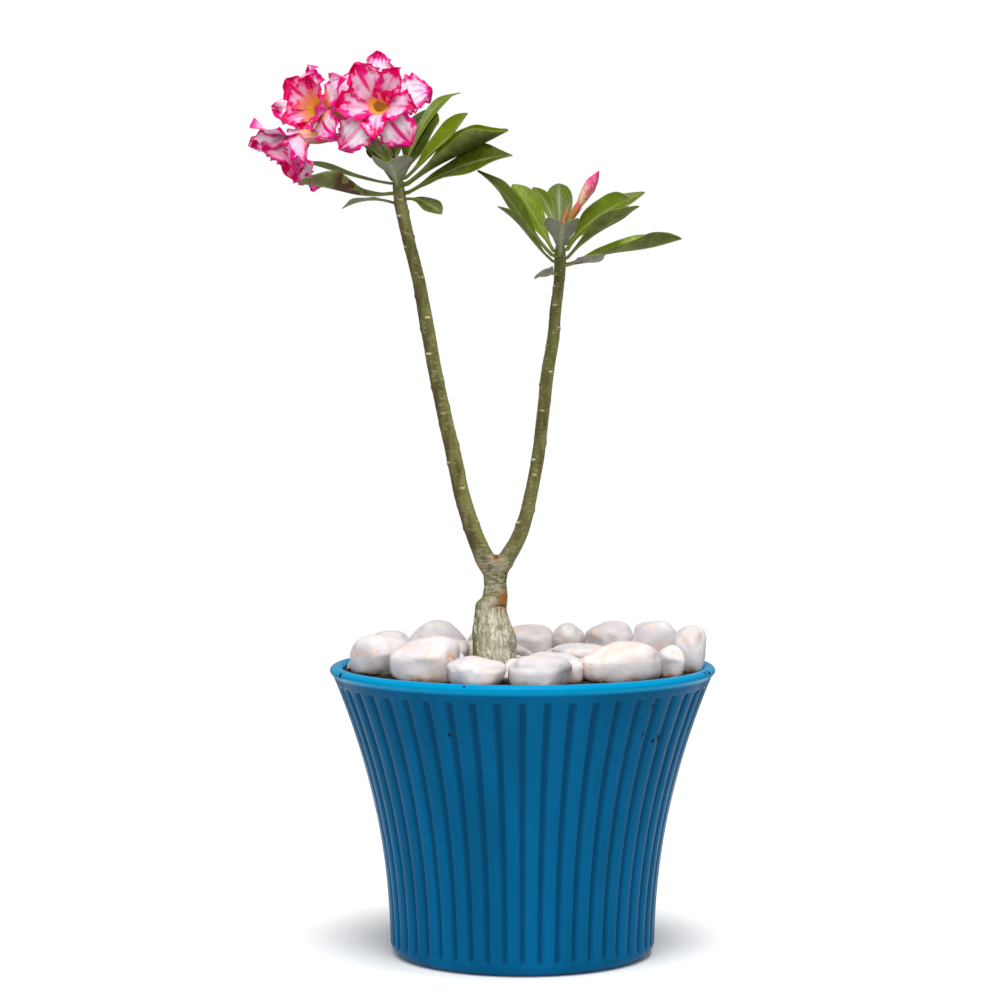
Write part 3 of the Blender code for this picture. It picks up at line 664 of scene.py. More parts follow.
def leaf_look():
    """Leathery leaf: glossy green above, grey-green and veined below, with a pale midrib and rim;
    painted light and shade set each leaf's brightness and darken some undersides and patches.
    """
    look = Look("leaf_blade", 0.4, Specular_IOR_Level=0.25)
    # each leaf's brightness share is partly its own tint and partly painted light and shade: lit leaves
    # brighter, shaded ones darker
    bright = look.level("tone", 0.3, 1.0, 0.05, 0.5)
    patches = look.times(look.blobs(8.0, 4.0, 0.54, 0.66, distortion=0.7), bright)
    green = look.coats(
        (0.030, 0.042, 0.003),
        (look.level("tone", 0.0, 0.4), (0.105, 0.155, 0.002)),
        (look.level("tone", 0.35, 1.0), (0.26, 0.38, 0.004)),
        (look.blobs(4.5, 5.0, 0.38, 0.68, top=0.5), (0.11, 0.155, 0.004)),
        (patches, (0.38, 0.48, 0.03)),
        (look.level("vein", 0.5, 1.0, top=0.2), (0.26, 0.34, 0.05)),
    )
    grey = look.mix(look.blobs(6.0, 4.0, 0.35, 0.68), (0.235, 0.23, 0.165), (0.33, 0.305, 0.275))
    under = look.coats(
        (0.095, 0.115, 0.018),
        (look.blobs(7.0, 4.0, 0.35, 0.68), (0.165, 0.20, 0.035)),
        (look.level("pale", 0.15, 0.95), grey),
        # painted shade: undersides whose pale share is near 0 are painted near black
        (look.level("pale", 0.15, 0.0), (0.035, 0.035, 0.012)),
        (look.level("vein", 0.5, 1.0, top=0.3), (0.36, 0.35, 0.26)),
    )
    # brown patches: real ones, and on left leaf 11 a painted shadow
    blotch_and_shadow = look.times(look.blobs(9.0, 3.0, 0.44, 0.50, distortion=0.8), "blotch_and_shadow")
    blade = look.paint(
        green,
        ("under", under),
        (look.times("stalk", 0.7), (0.20, 0.225, 0.05)),
        ("midrib", (0.45, 0.50, 0.22)),
        ("rim", (0.33, 0.40, 0.08)),
        (blotch_and_shadow, (0.085, 0.032, 0.010)),
        ("dry", (0.14, 0.115, 0.085)),
    )
    look.set("Roughness", look.level("under", 0.0, 1.0, 0.38, 0.6))
    look.bump("vein", 0.25, 0.5)
    look.bump(look.noise(0.8, 3.0), 0.08, 0.5)
    look.glow_through(look.mix(0.5, blade, (0.30, 0.48, 0.01)), 0.12)
    return look.material


def petal_look():
    """Silky petal: white middle, broad magenta margin and centre stripe, peach and gold foot."""
    look = Look("petal", 0.6, Specular_IOR_Level=0.12)
    magenta = look.coats(
        (0.86, 0.0, 0.24),
        ("tint", (0.94, 0.0, 0.09)),
        (look.blobs(7.0, 3.0, 0.40, 0.62, top=0.6), (1.0, 0.03, 0.34)),
    )
    ragged = look.blobs(6.5, 2.0, 0.30, 0.70, 0.5, 3.4)
    ragged = look.times(ragged, look.level("tint", 0.0, 1.0, 1.0, 1.9))
    inset = look.sum("SUBTRACT", look.sum("SUBTRACT", "margin", ragged), look.times("lines", 1.5))
    gold = look.mix(look.level("throat", 0.72, 1.0), (1.0, 0.40, 0.24), (0.98, 0.62, 0.05))
    outside = look.mix(look.level("margin", 0.0, 2.6), (0.86, 0.01, 0.30), (0.98, 0.56, 0.78))
    body = look.paint(
        (1.0, 0.98, 1.0),
        (look.blobs(8.0, 3.0, 0.42, 0.66, top=0.8), (1.0, 0.76, 0.92)),
        (look.level("tint", 0.0, 1.0, top=0.8), (1.0, 0.42, 0.66)),
        (look.level("lines", 0.55, 0.95, top=0.3), (0.94, 0.30, 0.62)),
        (look.level(inset, 4.2, 0.4, top=0.6), (0.98, 0.24, 0.62)),
        (look.level(inset, 1.4, -0.9), magenta),
        ("stripe", magenta),
        (look.level("throat", 0.05, 0.62), gold),
        (look.times("back", 0.75), outside),
    )
    look.bump("lines", 0.3, 0.5)
    look.bump(look.noise(2.0, 4.0), 0.3, 0.5)
    look.glow_through(body, 0.12)
    return look.material


def tube_look():
    """Flower tube: yellow-green foot and rose-orange ribs outside, gold with red lines inside."""
    look = Look("flower_tube", 0.5, Specular_IOR_Level=0.35)
    outside = look.coats(
        (0.40, 0.36, 0.06),
        (look.level("along", 0.0, 0.6), (0.62, 0.30, 0.09)),
        (look.level("along", 0.55, 1.0), (0.86, 0.42, 0.40)),
        (look.level("lines", 0.5, 1.0, top=0.5), (0.55, 0.12, 0.05)),
    )
    inside = look.coats(
        (0.92, 0.60, 0.03),
        (look.level("along", 0.3, 0.9), (0.97, 0.45, 0.22)),
        (look.level("lines", 0.6, 1.0, top=0.7), (0.78, 0.20, 0.03)),
    )
    look.glow_through(look.paint(inside, ("back", outside)), 0.2)
    look.bump("lines", 0.2, 0.6)
    return look.material


def stalk_look():
    """Fresh green flower stalk, flushed rust where its sepals dry."""
    look = Look("flower_stalk", 0.5)
    green = look.mix(look.blobs(3.0, 3.0, 0.35, 0.7), (0.30, 0.36, 0.08), (0.18, 0.23, 0.04))
    look.paint(green, ("flush", (0.62, 0.20, 0.05)))
    look.bump(look.noise(1.0, 3.0), 0.1, 0.6)
    look.glow_through(green, 0.1)
    return look.material


def bud_look():
    """Furled bud: rust-orange foot, peach flanks flecked with red, crimson tip and spiral seams."""
    look = Look("bud", 0.5, Sheen_Weight=0.1)
    along = look.sum("ADD", "along", look.blobs(3.5, 3.0, 0.2, 0.8, -0.12, 0.12))
    body = look.paint(
        (0.80, 0.24, 0.07),
        (look.level(along, 0.0, 0.3), (0.93, 0.66, 0.42)),
        (look.blobs(4.0, 3.0, 0.5, 0.62, stretch=(1.0, 1.0, 0.4)), (0.84, 0.16, 0.14)),
        (look.level(along, 0.40, 0.72), (0.90, 0.20, 0.36)),
        (look.level(along, 0.62, 0.90), (0.70, 0.0, 0.16)),
        (look.level("seam", 0.4, 1.0, top=0.85), (0.72, 0.03, 0.13)),
        ("withered", (0.50, 0.17, 0.035)),
    )
    look.glow_through(body, 0.15)
    look.bump(look.noise(1.0, 3.0), 0.1, 0.6)
    return look.material


# ---------------------------------------------------------------- pot and soil

def wall_radius(height):
    """Outside radius of the pot's wall, on the ribs."""
    return WALL_FOOT_RADIUS + WALL_FLARE * (np.asarray(height, float) / FLARE_HEIGHT) ** FLARE_POWER


def pot_columns():
    """Angles of the pot's columns, close together over the sides of each groove, and their places
    across a flute from -0.5 to 0.5."""
    offsets = np.concatenate([-np.array(FLUTE_COLUMNS)[::-1], FLUTE_COLUMNS])
    angles = -math.pi / 2 + TAU / FLUTES * (np.arange(FLUTES)[:, None] + offsets)
    return angles.ravel(), np.tile(offsets, FLUTES)


def pot_profile():
    """Radius and height from under the foot, up over the rim and down inside, with the bead's rows."""
    profile = [(PAD_RADIUS, 0.0), (PAD_RADIUS + 1.0, RECESS_TOP), (DRAIN_RING, RECESS_TOP)]
    profile += [(FOOT_INNER, RECESS_TOP), (FOOT_INNER + 0.7, 0.3), (FOOT_INNER + 1.2, 0.0)]
    reach = float(wall_radius(FOOT_HEIGHT)) - FOOT_RADIUS
    for turn in [math.pi / 2 * step / FOOT_STEPS for step in range(FOOT_STEPS + 1)]:
        profile.append((FOOT_RADIUS + reach * math.sin(turn), FOOT_HEIGHT * (1.0 - math.cos(turn))))
    heights = [10.0, 11.5, *np.linspace(14.0, 172.0, 40), *np.linspace(*FLUTE_HEAD, 5), 179.0, 181.0]
    profile += [(float(wall_radius(z)), z) for z in heights]
    bead_start = len(profile)
    for degrees in BEAD_ARC:
        turn = math.radians(degrees)
        radius = BEAD_RADIUS + BEAD_HALF_WIDTH * math.cos(turn)
        profile.append((radius, BEAD_HEIGHT + BEAD_HALF_HEIGHT * math.sin(turn)))
    bead_end = len(profile)
    profile += [(float(wall_radius(z)) - WALL, z) for z in INNER_HEIGHTS]
    profile += [(FLOOR_RADIUS, FLOOR_TOP), (PAD_RADIUS, FLOOR_TOP)]
    return profile, bead_start, bead_end


def make_pot(look):
    """Fluted, flared pot with a rolled rim, a foot ring with a centre pad, and drain holes."""
    angles, offsets = pot_columns()
    aside = np.abs(offsets)
    profile, bead_start, bead_end = pot_profile()
    verts, grooves, bead_highlight_rows = [], [], []
    for row, (radius, height) in enumerate(profile):
        fade = band(height, FLUTE_FOOT, FLUTE_HEAD) * (row < bead_start)
        up = height / FLUTE_HEAD[0]
        floor = FLUTE_FLOOR[0] + (FLUTE_FLOOR[1] - FLUTE_FLOOR[0]) * up
        mouth = FLUTE_MOUTH[0] + (FLUTE_MOUTH[1] - FLUTE_MOUTH[0]) * up
        groove = (1.0 - smoothstep(floor, mouth, aside)) * fade
        crown = np.clip((0.5 - aside) / (0.5 - mouth), 0.0, 1.0) ** 2 * fade
        reach = radius - FLUTE_DEPTH * groove - RIB_CROWN * crown
        level = np.full(len(angles), height)
        verts.append(np.stack([reach * np.cos(angles), reach * np.sin(angles), level], 1))
        # the groove share also sets the painted shade in the grooves' colour
        grooves.append(groove)
        # the bead's rows carry the painted highlight on the rim
        bead_highlight_rows.append(np.full(len(angles), float(bead_start <= row < bead_end)))
    verts = np.vstack(verts + [[(0.0, 0.0, 0.0)], [(0.0, 0.0, FLOOR_TOP)]])
    marks = {"groove": np.append(grooves, [0.0, 0.0]), "bead": np.append(bead_highlight_rows, [0.0, 0.0])}
    faces = capped_faces(len(profile), len(angles))
    drill(add_piece("fluted_pot", verts, faces, look, ("pot",), marks))


def drill(pot):
    """Cut the drain holes through the pot's floor, leaving no modifier behind."""
    cutters = bmesh.new()
    for i in range(DRAINS):
        turn = TAU * (i + 0.5) / DRAINS
        spot = Vector((DRAIN_RING * math.cos(turn), DRAIN_RING * math.sin(turn), FLOOR_TOP / 2)) * MM
        bmesh.ops.create_cone(
            cutters, cap_ends=True, segments=32, radius1=DRAIN_RADIUS * MM, radius2=DRAIN_RADIUS * MM,
            depth=3 * FLOOR_TOP * MM, matrix=Matrix.Translation(spot),
        )
    mesh = bpy.data.meshes.new("drain_cutters")
    cutters.to_mesh(mesh)
    cutters.free()
    cutter = link("drain_cutters", mesh)
    boolean = pot.modifiers.new("drains", "BOOLEAN")
    boolean.operation = "DIFFERENCE"
    boolean.solver = "EXACT"
    boolean.object = cutter
    graph = bpy.context.evaluated_depsgraph_get()
    drilled = bpy.data.meshes.new_from_object(pot.evaluated_get(graph))
    pot.modifiers.clear()
    pot.data = drilled
    bpy.data.objects.remove(cutter, do_unlink=True)


def make_soil(look):
    """Uneven soil surface over the packed soil, with loose crumbs."""
    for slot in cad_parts["soil"].material_slots:
        slot.link = "OBJECT"
        slot.material = look
    angles = round_angles(SOIL_SIDES)
    circle = np.stack([np.cos(angles), np.sin(angles), np.zeros(SOIL_SIDES)], 1)
    verts = np.vstack([radius * circle for radius in np.linspace(2.0, SOIL_RADIUS, SOIL_RINGS)])
    lumps = 1.1 + 1.3 * field(verts, 9.0, 1.0, 3) + 0.5 * field(verts, 2.6, 2.0)
    verts[:, 2] = SOIL_TOP + np.clip(lumps, 0.15, 4.0)
    skirt = verts[-SOIL_SIDES:].copy()
    skirt[:, 2] = SOIL_TOP - 0.5
    verts = np.vstack([verts, skirt, [(0.0, 0.0, SOIL_TOP + 1.0)], [(0.0, 0.0, SOIL_TOP - 0.5)]])
    add_piece("soil_surface", verts, capped_faces(SOIL_RINGS + 1, SOIL_SIDES), look)

    crumbs = Bundle()
    for _ in range(CRUMBS):
        radius = SOIL_RADIUS * math.sqrt(dice.random()) * 0.97
        turn = dice.uniform(0.0, TAU)
        size = dice.uniform(0.7, 2.2)
        spot = (radius * math.cos(turn), radius * math.sin(turn), SOIL_TOP + 1.0 + size * 0.5)
        halves = (size, size * 0.9, size * 0.7)
        crumbs.add(*lump(2, halves, dice.uniform(0, 99), Vector(spot), dice.uniform(0, TAU), 1.0))
    crumbs.piece("soil_crumbs", look)


# ---------------------------------------------------------------- pebbles

def lump(level, halves, seed, spot, turn, bedding):
    """Rounded stone: soft planes cut from a ball, dented by noise and fitted to its half sizes.

    A bedding over 1 flattens its underside, as of a stone pressed into soil."""
    bm = bmesh.new()
    bmesh.ops.create_icosphere(bm, subdivisions=level, radius=1.0)
    balls = np.array([v.co[:] for v in bm.verts])
    faces = [tuple(v.index for v in face.verts) for face in bm.faces]
    bm.free()
    chance = random.Random(seed)
    planes = np.array([[chance.gauss(0, 1) for _ in range(3)] for _ in range(STONE_PLANES)])
    planes /= np.linalg.norm(planes, axis=1, keepdims=True)
    depths = np.array([chance.uniform(0.74, 1.0) for _ in range(STONE_PLANES)])
    cuts = np.maximum(balls @ planes.T, 0.0) / depths
    reach = ((cuts ** STONE_EDGE).sum(axis=1) + 1.0) ** (-1.0 / STONE_EDGE)
    reach *= 1.0 + 0.15 * field(balls, 0.9, seed) + 0.05 * field(balls, 0.42, seed + 3)
    shape = balls * reach[:, None]
    low, high = shape.min(axis=0), shape.max(axis=0)
    shape = (shape - (low + high) / 2) / ((high - low) / 2)
    bedded = -1.0 + (1.0 - np.clip(-shape[:, 2], 0.0, 1.0)) ** bedding
    shape[:, 2] = np.where(shape[:, 2] < 0.0, bedded, shape[:, 2])
    shape *= halves
    c, s = math.cos(turn), math.sin(turn)
    shape = shape @ np.array([[c, s, 0.0], [-s, c, 0.0], [0.0, 0.0, 1.0]])
    return shape + np.array(spot), faces


def stone_marks(verts, half_z, spot, stones):
    """How low each point of a stone lies, and 1 where it faces a large neighbour close by."""
    closest = np.full(len(verts), 9.0)
    for x, y, half in stones:
        if (x, y) != spot:
            away = np.hypot(verts[:, 0] - x, verts[:, 1] - y) / half
            closest = np.minimum(closest, away)
    return {
        "low": 1.0 - (verts[:, 2] - verts[:, 2].min()) / (2 * half_z),
        "seam": 1.0 - smoothstep(1.0, 1.22, closest),
    }


def make_pebbles(look):
    """The large pebbles, one piece each."""
    for number, (x, y, half_x, half_y, half_z, turn) in enumerate(PEBBLES, start=1):
        spot = (x, y, SOIL_TOP + 0.35 + half_z)
        halves = (half_x, half_y, half_z)
        verts, faces = lump(5, halves, number * 1.37, spot, math.radians(turn), 3.2)
        marks = stone_marks(verts, half_z, (x, y), STONES)
        add_piece(f"stone_{number:02d}", verts, faces, look, (f"pebble_{number:02d}",), marks)


# ---------------------------------------------------------------- trunk

def relax(points, edges, pull, rounds):
    """Draw each point towards the mean of its neighbours by its own pull, some rounds over."""
    counts = np.bincount(edges.ravel(), minlength=len(points))[:, None]
    for _ in range(rounds):
        total = np.zeros_like(points)
        np.add.at(total, edges[:, 0], points[edges[:, 1]])
        np.add.at(total, edges[:, 1], points[edges[:, 0]])
        points = points + (total / np.maximum(counts, 1) - points) * pull[:, None]
    return points


def make_small_stones(look):
    """One piece of smaller stones that fill the gaps, lower and nearer the middle at the front."""
    taken = [(x, y, max(a, b)) for x, y, a, b, _, _ in PEBBLES]
    taken.append((CAUDEX[2][1], 0.0, CAUDEX[2][2] + 1.5))
    filler = Bundle()
    for _ in range(FILLER_TRIES):
        radius = FILLER_REACH * math.sqrt(dice.random())
        turn = dice.uniform(0.0, TAU)
        x, y = radius * math.cos(turn), radius * math.sin(turn)
        room = min(math.hypot(x - tx, y - ty) - size * 0.86 for tx, ty, size in taken)
        room = min(room, SOIL_RADIUS - 1.0 - radius)
        in_front = y < FRONT
        bare = abs(x - BARE_X) + abs(y) < BARE_REACH
        if room < FILLER_LEAST or (in_front and radius > FRONT_REACH) or bare:
            continue
        half = min(room, dice.uniform(8.0, 15.0))
        flat = min(half * dice.uniform(0.55, 0.72), 4.5 if in_front else 9.0)
        seed = dice.uniform(0.0, 99.0)
        spot = (x, y, SOIL_TOP + flat - 0.5)
        halves = (half, half * dice.uniform(0.8, 0.95), flat)
        verts, faces = lump(4, halves, seed, spot, dice.uniform(0, TAU), 2.0)
        filler.add(verts, faces, **stone_marks(verts, flat, (x, y), STONES))
        taken.append((x, y, half))
    filler.piece("small_stones", look)


def trunk_blank():
    """Swollen base and both stems as one blended mesh: vertices in millimetres, edges and polygons."""
    blank = Bundle()
    heights = np.arange(CAUDEX[0][0], CAUDEX[-1][0], 2.0)
    rows = spline(CAUDEX, heights)
    angles = round_angles(40)
    verts = []
    for height, (x, half_x, half_y) in zip(heights, rows):
        verts.extend((x + half_x * math.cos(a), half_y * math.sin(a), height) for a in angles)
    verts += [(rows[0][0], 0.0, heights[0]), (rows[-1][0], 0.0, heights[-1] + 2.0)]
    blank.add(verts, capped_faces(len(heights), len(angles)))
    for stem in STEMS.values():
        centres, radii = stem_line(stem, np.arange(stem[0][2], stem[-1][2] + 0.1, 2.0))
        blank.add(*tube(centres, radii, 32))
    mesh = bpy.data.meshes.new("trunk_blank")
    mesh.from_pydata((np.array(blank.verts) * MM).tolist(), [], blank.faces)
    obj = link("trunk_blank", mesh)
    remesh = obj.modifiers.new("blend", "REMESH")
    remesh.mode = "VOXEL"
    remesh.voxel_size = TRUNK_VOXEL * MM
    graph = bpy.context.evaluated_depsgraph_get()
    blended = bpy.data.meshes.new_from_object(obj.evaluated_get(graph))
    bpy.data.objects.remove(obj, do_unlink=True)
    points = np.empty(len(blended.vertices) * 3)
    blended.vertices.foreach_get("co", points)
    edges = np.empty(len(blended.edges) * 2, int)
    blended.edges.foreach_get("vertices", edges)
    faces = [tuple(p.vertices) for p in blended.polygons]
    return points.reshape(-1, 3) / MM, edges.reshape(-1, 2), faces


def stem_line(stem, heights):
    """Centres and radii of a stem at heights."""
    rows = spline([(z, x, y, r) for x, y, z, r in stem], heights)
    centres = np.column_stack([rows[:, 0], rows[:, 1], heights])
    return centres, rows[:, 2]


def trunk_axes(points):
    """Each point's offset from its own centre line, its angle round it, and which stem it is on."""
    height = points[:, 2]
    base = spline(CAUDEX, height)
    centre = np.column_stack([base[:, 0], np.zeros(len(height)), height])
    side = np.zeros(len(height), int)
    for number, stem in enumerate(STEMS.values(), start=1):
        line, _ = stem_line(stem, height)
        nearer = np.hypot(*(points - line)[:, :2].T) < np.hypot(*(points - centre)[:, :2].T)
        here = (height > FORK - 4.0) & (nearer | (side == 0))
        centre[here] = line[here]
        side[here] = number
    out = points - centre
    return out, np.degrees(np.arctan2(out[:, 1], out[:, 0])), side


def turn_from(angle, at):
    """Degrees from one direction round the trunk to another, from -180 to 180."""
    return (angle - at + 180.0) % 360.0 - 180.0


def facing_side(angle, at, spread):
    """1 on one side of the trunk, falling to 0 over its spread in degrees."""
    return np.exp(-((turn_from(angle, at) / spread) ** 2))


def near(angle, height, at, spread, level, tall):
    """1 at a spot on the trunk's surface, falling to 0 over its spread in degrees and its height."""
    return np.exp(-((turn_from(angle, at) / spread) ** 2) - ((height - level) / tall) ** 2)


def in_fork(points, wide, level, tall):
    """1 at a spot in the saddle between the stems, falling to 0 over its width and its height."""
    return np.exp(-(((points[:, 0] - SADDLE) / wide) ** 2) - ((points[:, 2] - level) / tall) ** 2)


def leaf_scars():
    """Old leaf scars in a loose spiral up each stem: side, angle, height, width in degrees."""
    scars = []
    for number, stem in enumerate(STEMS.values(), start=1):
        height, turn = stem[1][2] + 12.0, 40.0 * number
        while height < stem[-1][2] - 16.0:
            scars.append((number, turn % 360.0, height, dice.uniform(20.0, 34.0)))
            turn += SPIRAL + dice.uniform(-30.0, 30.0)
            height += dice.uniform(4.0, 13.0) * (0.5 if height > stem[-1][2] - 45.0 else 1.0)
    return scars


def trunk_relief(points, height):
    """Furrows of the swollen base and ring wrinkles of its neck, each with where it shows."""
    wavy = np.column_stack([points[:, 0], points[:, 1], height * 0.25 + 0.4 * points[:, 0]])
    furrow = 1.0 - np.abs(field(wavy, 1.9, 5.0, 3)) * 3.2
    low = 1.0 - smoothstep(220.0, 229.0, height)
    low *= smoothstep(-0.5, 0.35, field(points, 9.0, 21.0, 2) + 0.2)
    rings = np.column_stack([points[:, 0] * 0.22, points[:, 1] * 0.22, height])
    wrinkle = 1.0 - np.abs(field(rings, 1.5, 8.0, 3)) * 3.4
    ringed = band(height, (225.0, 230.0), (246.0, 254.0))
    ringed *= smoothstep(-0.45, 0.2, field(points, 6.0, 31.0))
    return furrow, low, wrinkle, ringed


def trunk_tints(points, height, out, angle, side, ringed):
    """Where the stems' skin starts, where painted shade browns their left flanks and painted light
    brightens their right flanks, where painted shade falls olive on the left side of the base and olive
    rings the neck, and where the neck is.
    """
    skin = smoothstep(247.0, 268.0, height + 6.0 * field(points, 5.0, 6.0))
    # painted shade: olive on the left side of the base up to the neck; the neck's wrinkled rings take
    # some of the olive as their own colour
    left_shade_and_olive = facing_side(angle, 196.0, 38.0) * (1.0 - smoothstep(240.0, 250.0, height))
    left_shade_and_olive = np.maximum(left_shade_and_olive, 0.45 * ringed) * smoothstep(-0.5, 0.0, field(points, 4.0, 14.0, 2))
    # painted light and shade by side: each stem's left flank is painted a shaded brown and its right
    # flank painted sunlit, mottled by noise
    flank = out[:, 0] / 4.5
    brown = smoothstep(0.1, 1.0, 0.9 * field(points, 12.0, 41.0, 2) - flank) * skin
    brown *= np.where(side == 2, 0.3, 0.65)
    sunny = 0.7 * smoothstep(0.1, 1.0, flank + 0.6 * field(points, 10.0, 47.0)) * skin
    neck = smoothstep(226.0, 233.0, height + 2.0 * field(points, 4.0, 51.0))
    return {"skin": skin, "left_shade_and_olive": left_shade_and_olive, "brown": brown, "sunny": sunny, "neck": neck}


def trunk_flaws(points, height, angle):
    """The crack over the base, pits low on its front, the rust round them, and painted shade in the
    crack, the pits, the fork's saddle and a short line on the left flank.
    """
    def spot(at, spread, level, tall):
        return near(angle, height, at, spread, level, tall)

    crack = spot(-46.0, 38.0, 226.8 + 0.5 * np.sin(np.radians(angle * 5)), 0.7)
    rust = 1.3 * spot(-38.0, 40.0, 231.0, 6.0) + 0.8 * spot(184.0, 22.0, 252.5, 2.6)
    rust += 0.9 * spot(-12.0, 22.0, 250.4, 2.8) + 0.6 * spot(-30.0, 16.0, 189.0, 5.0)
    rust += 0.8 * in_fork(points, 3.0, 257.5, 2.0)
    rust *= smoothstep(-0.5, 0.1, field(points, 3.0, 17.0, 2))
    # painted shade in the crack, on a short line on the left flank, in the fork's saddle and in the pits
    deep_shade = 0.95 * crack + 0.5 * spot(186.0, 12.0, 254.5, 1.2)
    deep_shade += in_fork(points, 1.5, 258.4, 1.3)
    pits = smoothstep(0.30, 0.45, field(points, 1.5, 12.0)) * (1.0 - smoothstep(203.0, 213.0, height))
    pits *= facing_side(angle, -28.0, 42.0)
    deep_shade += 0.8 * pits
    return crack, pits, rust, deep_shade


def make_trunk(look):
    """Forked trunk with a step on its flank, ring wrinkles, furrows, a crack and leaf scars."""
    points, edges, faces = trunk_blank()
    points = relax(points, edges, np.full(len(points), 0.5), 3)
    points = relax(points, edges, 0.5 * np.exp(-((points[:, 2] - 260.0) / 5.0) ** 2), 10)
    out, angle, side = trunk_axes(points)
    height = points[:, 2]
    furrow, low, wrinkle, ringed = trunk_relief(points, height)
    tints = trunk_tints(points, height, out, angle, side, ringed)
    crack, pits, rust, deep_shade = trunk_flaws(points, height, angle)

    skin = tints["skin"]
    swell = 0.35 * field(points, 7.0, 3.0) * (1.0 - smoothstep(250.0, 290.0, height))
    push = 0.30 * furrow * low + 0.20 * wrinkle * ringed + swell - 0.75 * crack - 0.4 * pits
    push += 0.12 * field(points, 3.0, 4.0, 2) * skin + 0.16 * field(points, 11.0, 9.0) * skin
    scar = np.zeros(len(points))
    for stem_number, at, level, spread in leaf_scars():
        here = side == stem_number
        flat = near(angle, height, at, spread, level, 0.75) * here
        rim = near(angle, height, at, spread * 1.3, level - 0.7, 1.7) * here
        gash = near(angle, height, at, spread * 0.8, level + 1.2, 0.5) * here
        push += 0.6 * rim - 0.15 * flat - 0.15 * gash
        scar = np.maximum(scar, smoothstep(0.30, 0.70, flat) * dice.uniform(0.3, 0.95))
        # painted shade in each leaf scar's gash
        deep_shade = np.maximum(deep_shade, 0.85 * smoothstep(0.4, 0.9, gash))
    outward = out / np.maximum(np.linalg.norm(out, axis=1, keepdims=True), 1e-6)
    points = points + outward * push[:, None]
    # the relief's sunken parts get painted shade and its raised parts get painted light
    relief = furrow * low + wrinkle * ringed
    marks = {
        **tints, "scar": scar, "deep_shade": np.clip(deep_shade, 0, 1), "rust": np.clip(rust, 0, 1),
        "hollow_shade": np.clip(-relief, 0.0, 1.0), "crest_light": smoothstep(0.35, 0.95, relief),
    }
    add_piece("trunk", points, faces, look, ("caudex", "stem_left", "stem_right"), marks)


# ---------------------------------------------------------------- leaves

def stem_point(stem, height):
    """Centre and radius of a stem at a height."""
    centres, radii = stem_line(stem, np.array([height]))
    return Vector(centres[0]), float(radii[0])


def leaf_axes(rise, roll):
    """Directions along a leaf that points to local +X, towards its right edge, and upward."""
    along = Vector((math.cos(rise), 0.0, math.sin(rise)))
    side = Vector((0.0, -1.0, 0.0))
    turn = Matrix.Rotation(-roll, 3, along)
    return along, turn @ side, turn @ side.cross(along)


def leaf_widths(shares, width, point):
    """Half widths along a leaf: narrow stalk, broad past the middle, a round or drawn-out tip."""
    widths = spline(LEAF_OUTLINE, shares)[:, 0]
    past = np.clip((1.0 - shares) / (1.0 - LEAF_TIP), 0.0, 1.0)
    widths = np.where(shares > LEAF_TIP, LEAF_OUTLINE[-1][1] * past ** 0.62, widths)
    widths *= 1.0 - 0.85 * point * smoothstep(0.72, 1.0, shares)
    return np.maximum(widths * width / 2, 0.15)


def leaf_marks(shares, across, widths, length, tones, dried):
    """Point values of a leaf's colours, first those of its upper face and then of its underside."""
    tone, pale, blotch_and_shadow = tones
    v, share = np.meshgrid(across, shares)
    half = np.maximum(widths[:, None], 0.3)
    edge = np.minimum((1.0 - np.abs(v)) * half, (1.0 - share) * length)
    rim = (1.0 - smoothstep(0.1, 0.6, edge)) * smoothstep(0.15, 0.3, share)
    midrib = np.exp(-((v * half / 0.5) ** 2)) * (1.0 - 0.65 * share) * smoothstep(0.04, 0.2, share)
    vein = np.abs(np.sin((share - 0.22 * np.abs(v)) * length * 0.62)) ** 6 * (1.0 - midrib)
    stalk = 1.0 - smoothstep(0.05, 0.35, share)
    dry = smoothstep(0.955, 0.99, share) * dried
    blotch_and_shadow = blotch_and_shadow * smoothstep(0.24, 0.34, share) * (1.0 - smoothstep(0.60, 0.70, share))
    even = np.ones_like(share)
    return both_faces({
        "rim": (rim * 0.5, rim * 0.35), "midrib": (midrib * 0.55, midrib * 0.7), "vein": (vein,) * 2,
        "under": (0 * even, even), "stalk": (stalk,) * 2, "dry": (dry,) * 2, "blotch_and_shadow": (blotch_and_shadow,) * 2,
        "tone": (tone * even,) * 2, "pale": (pale * even,) * 2,
    })


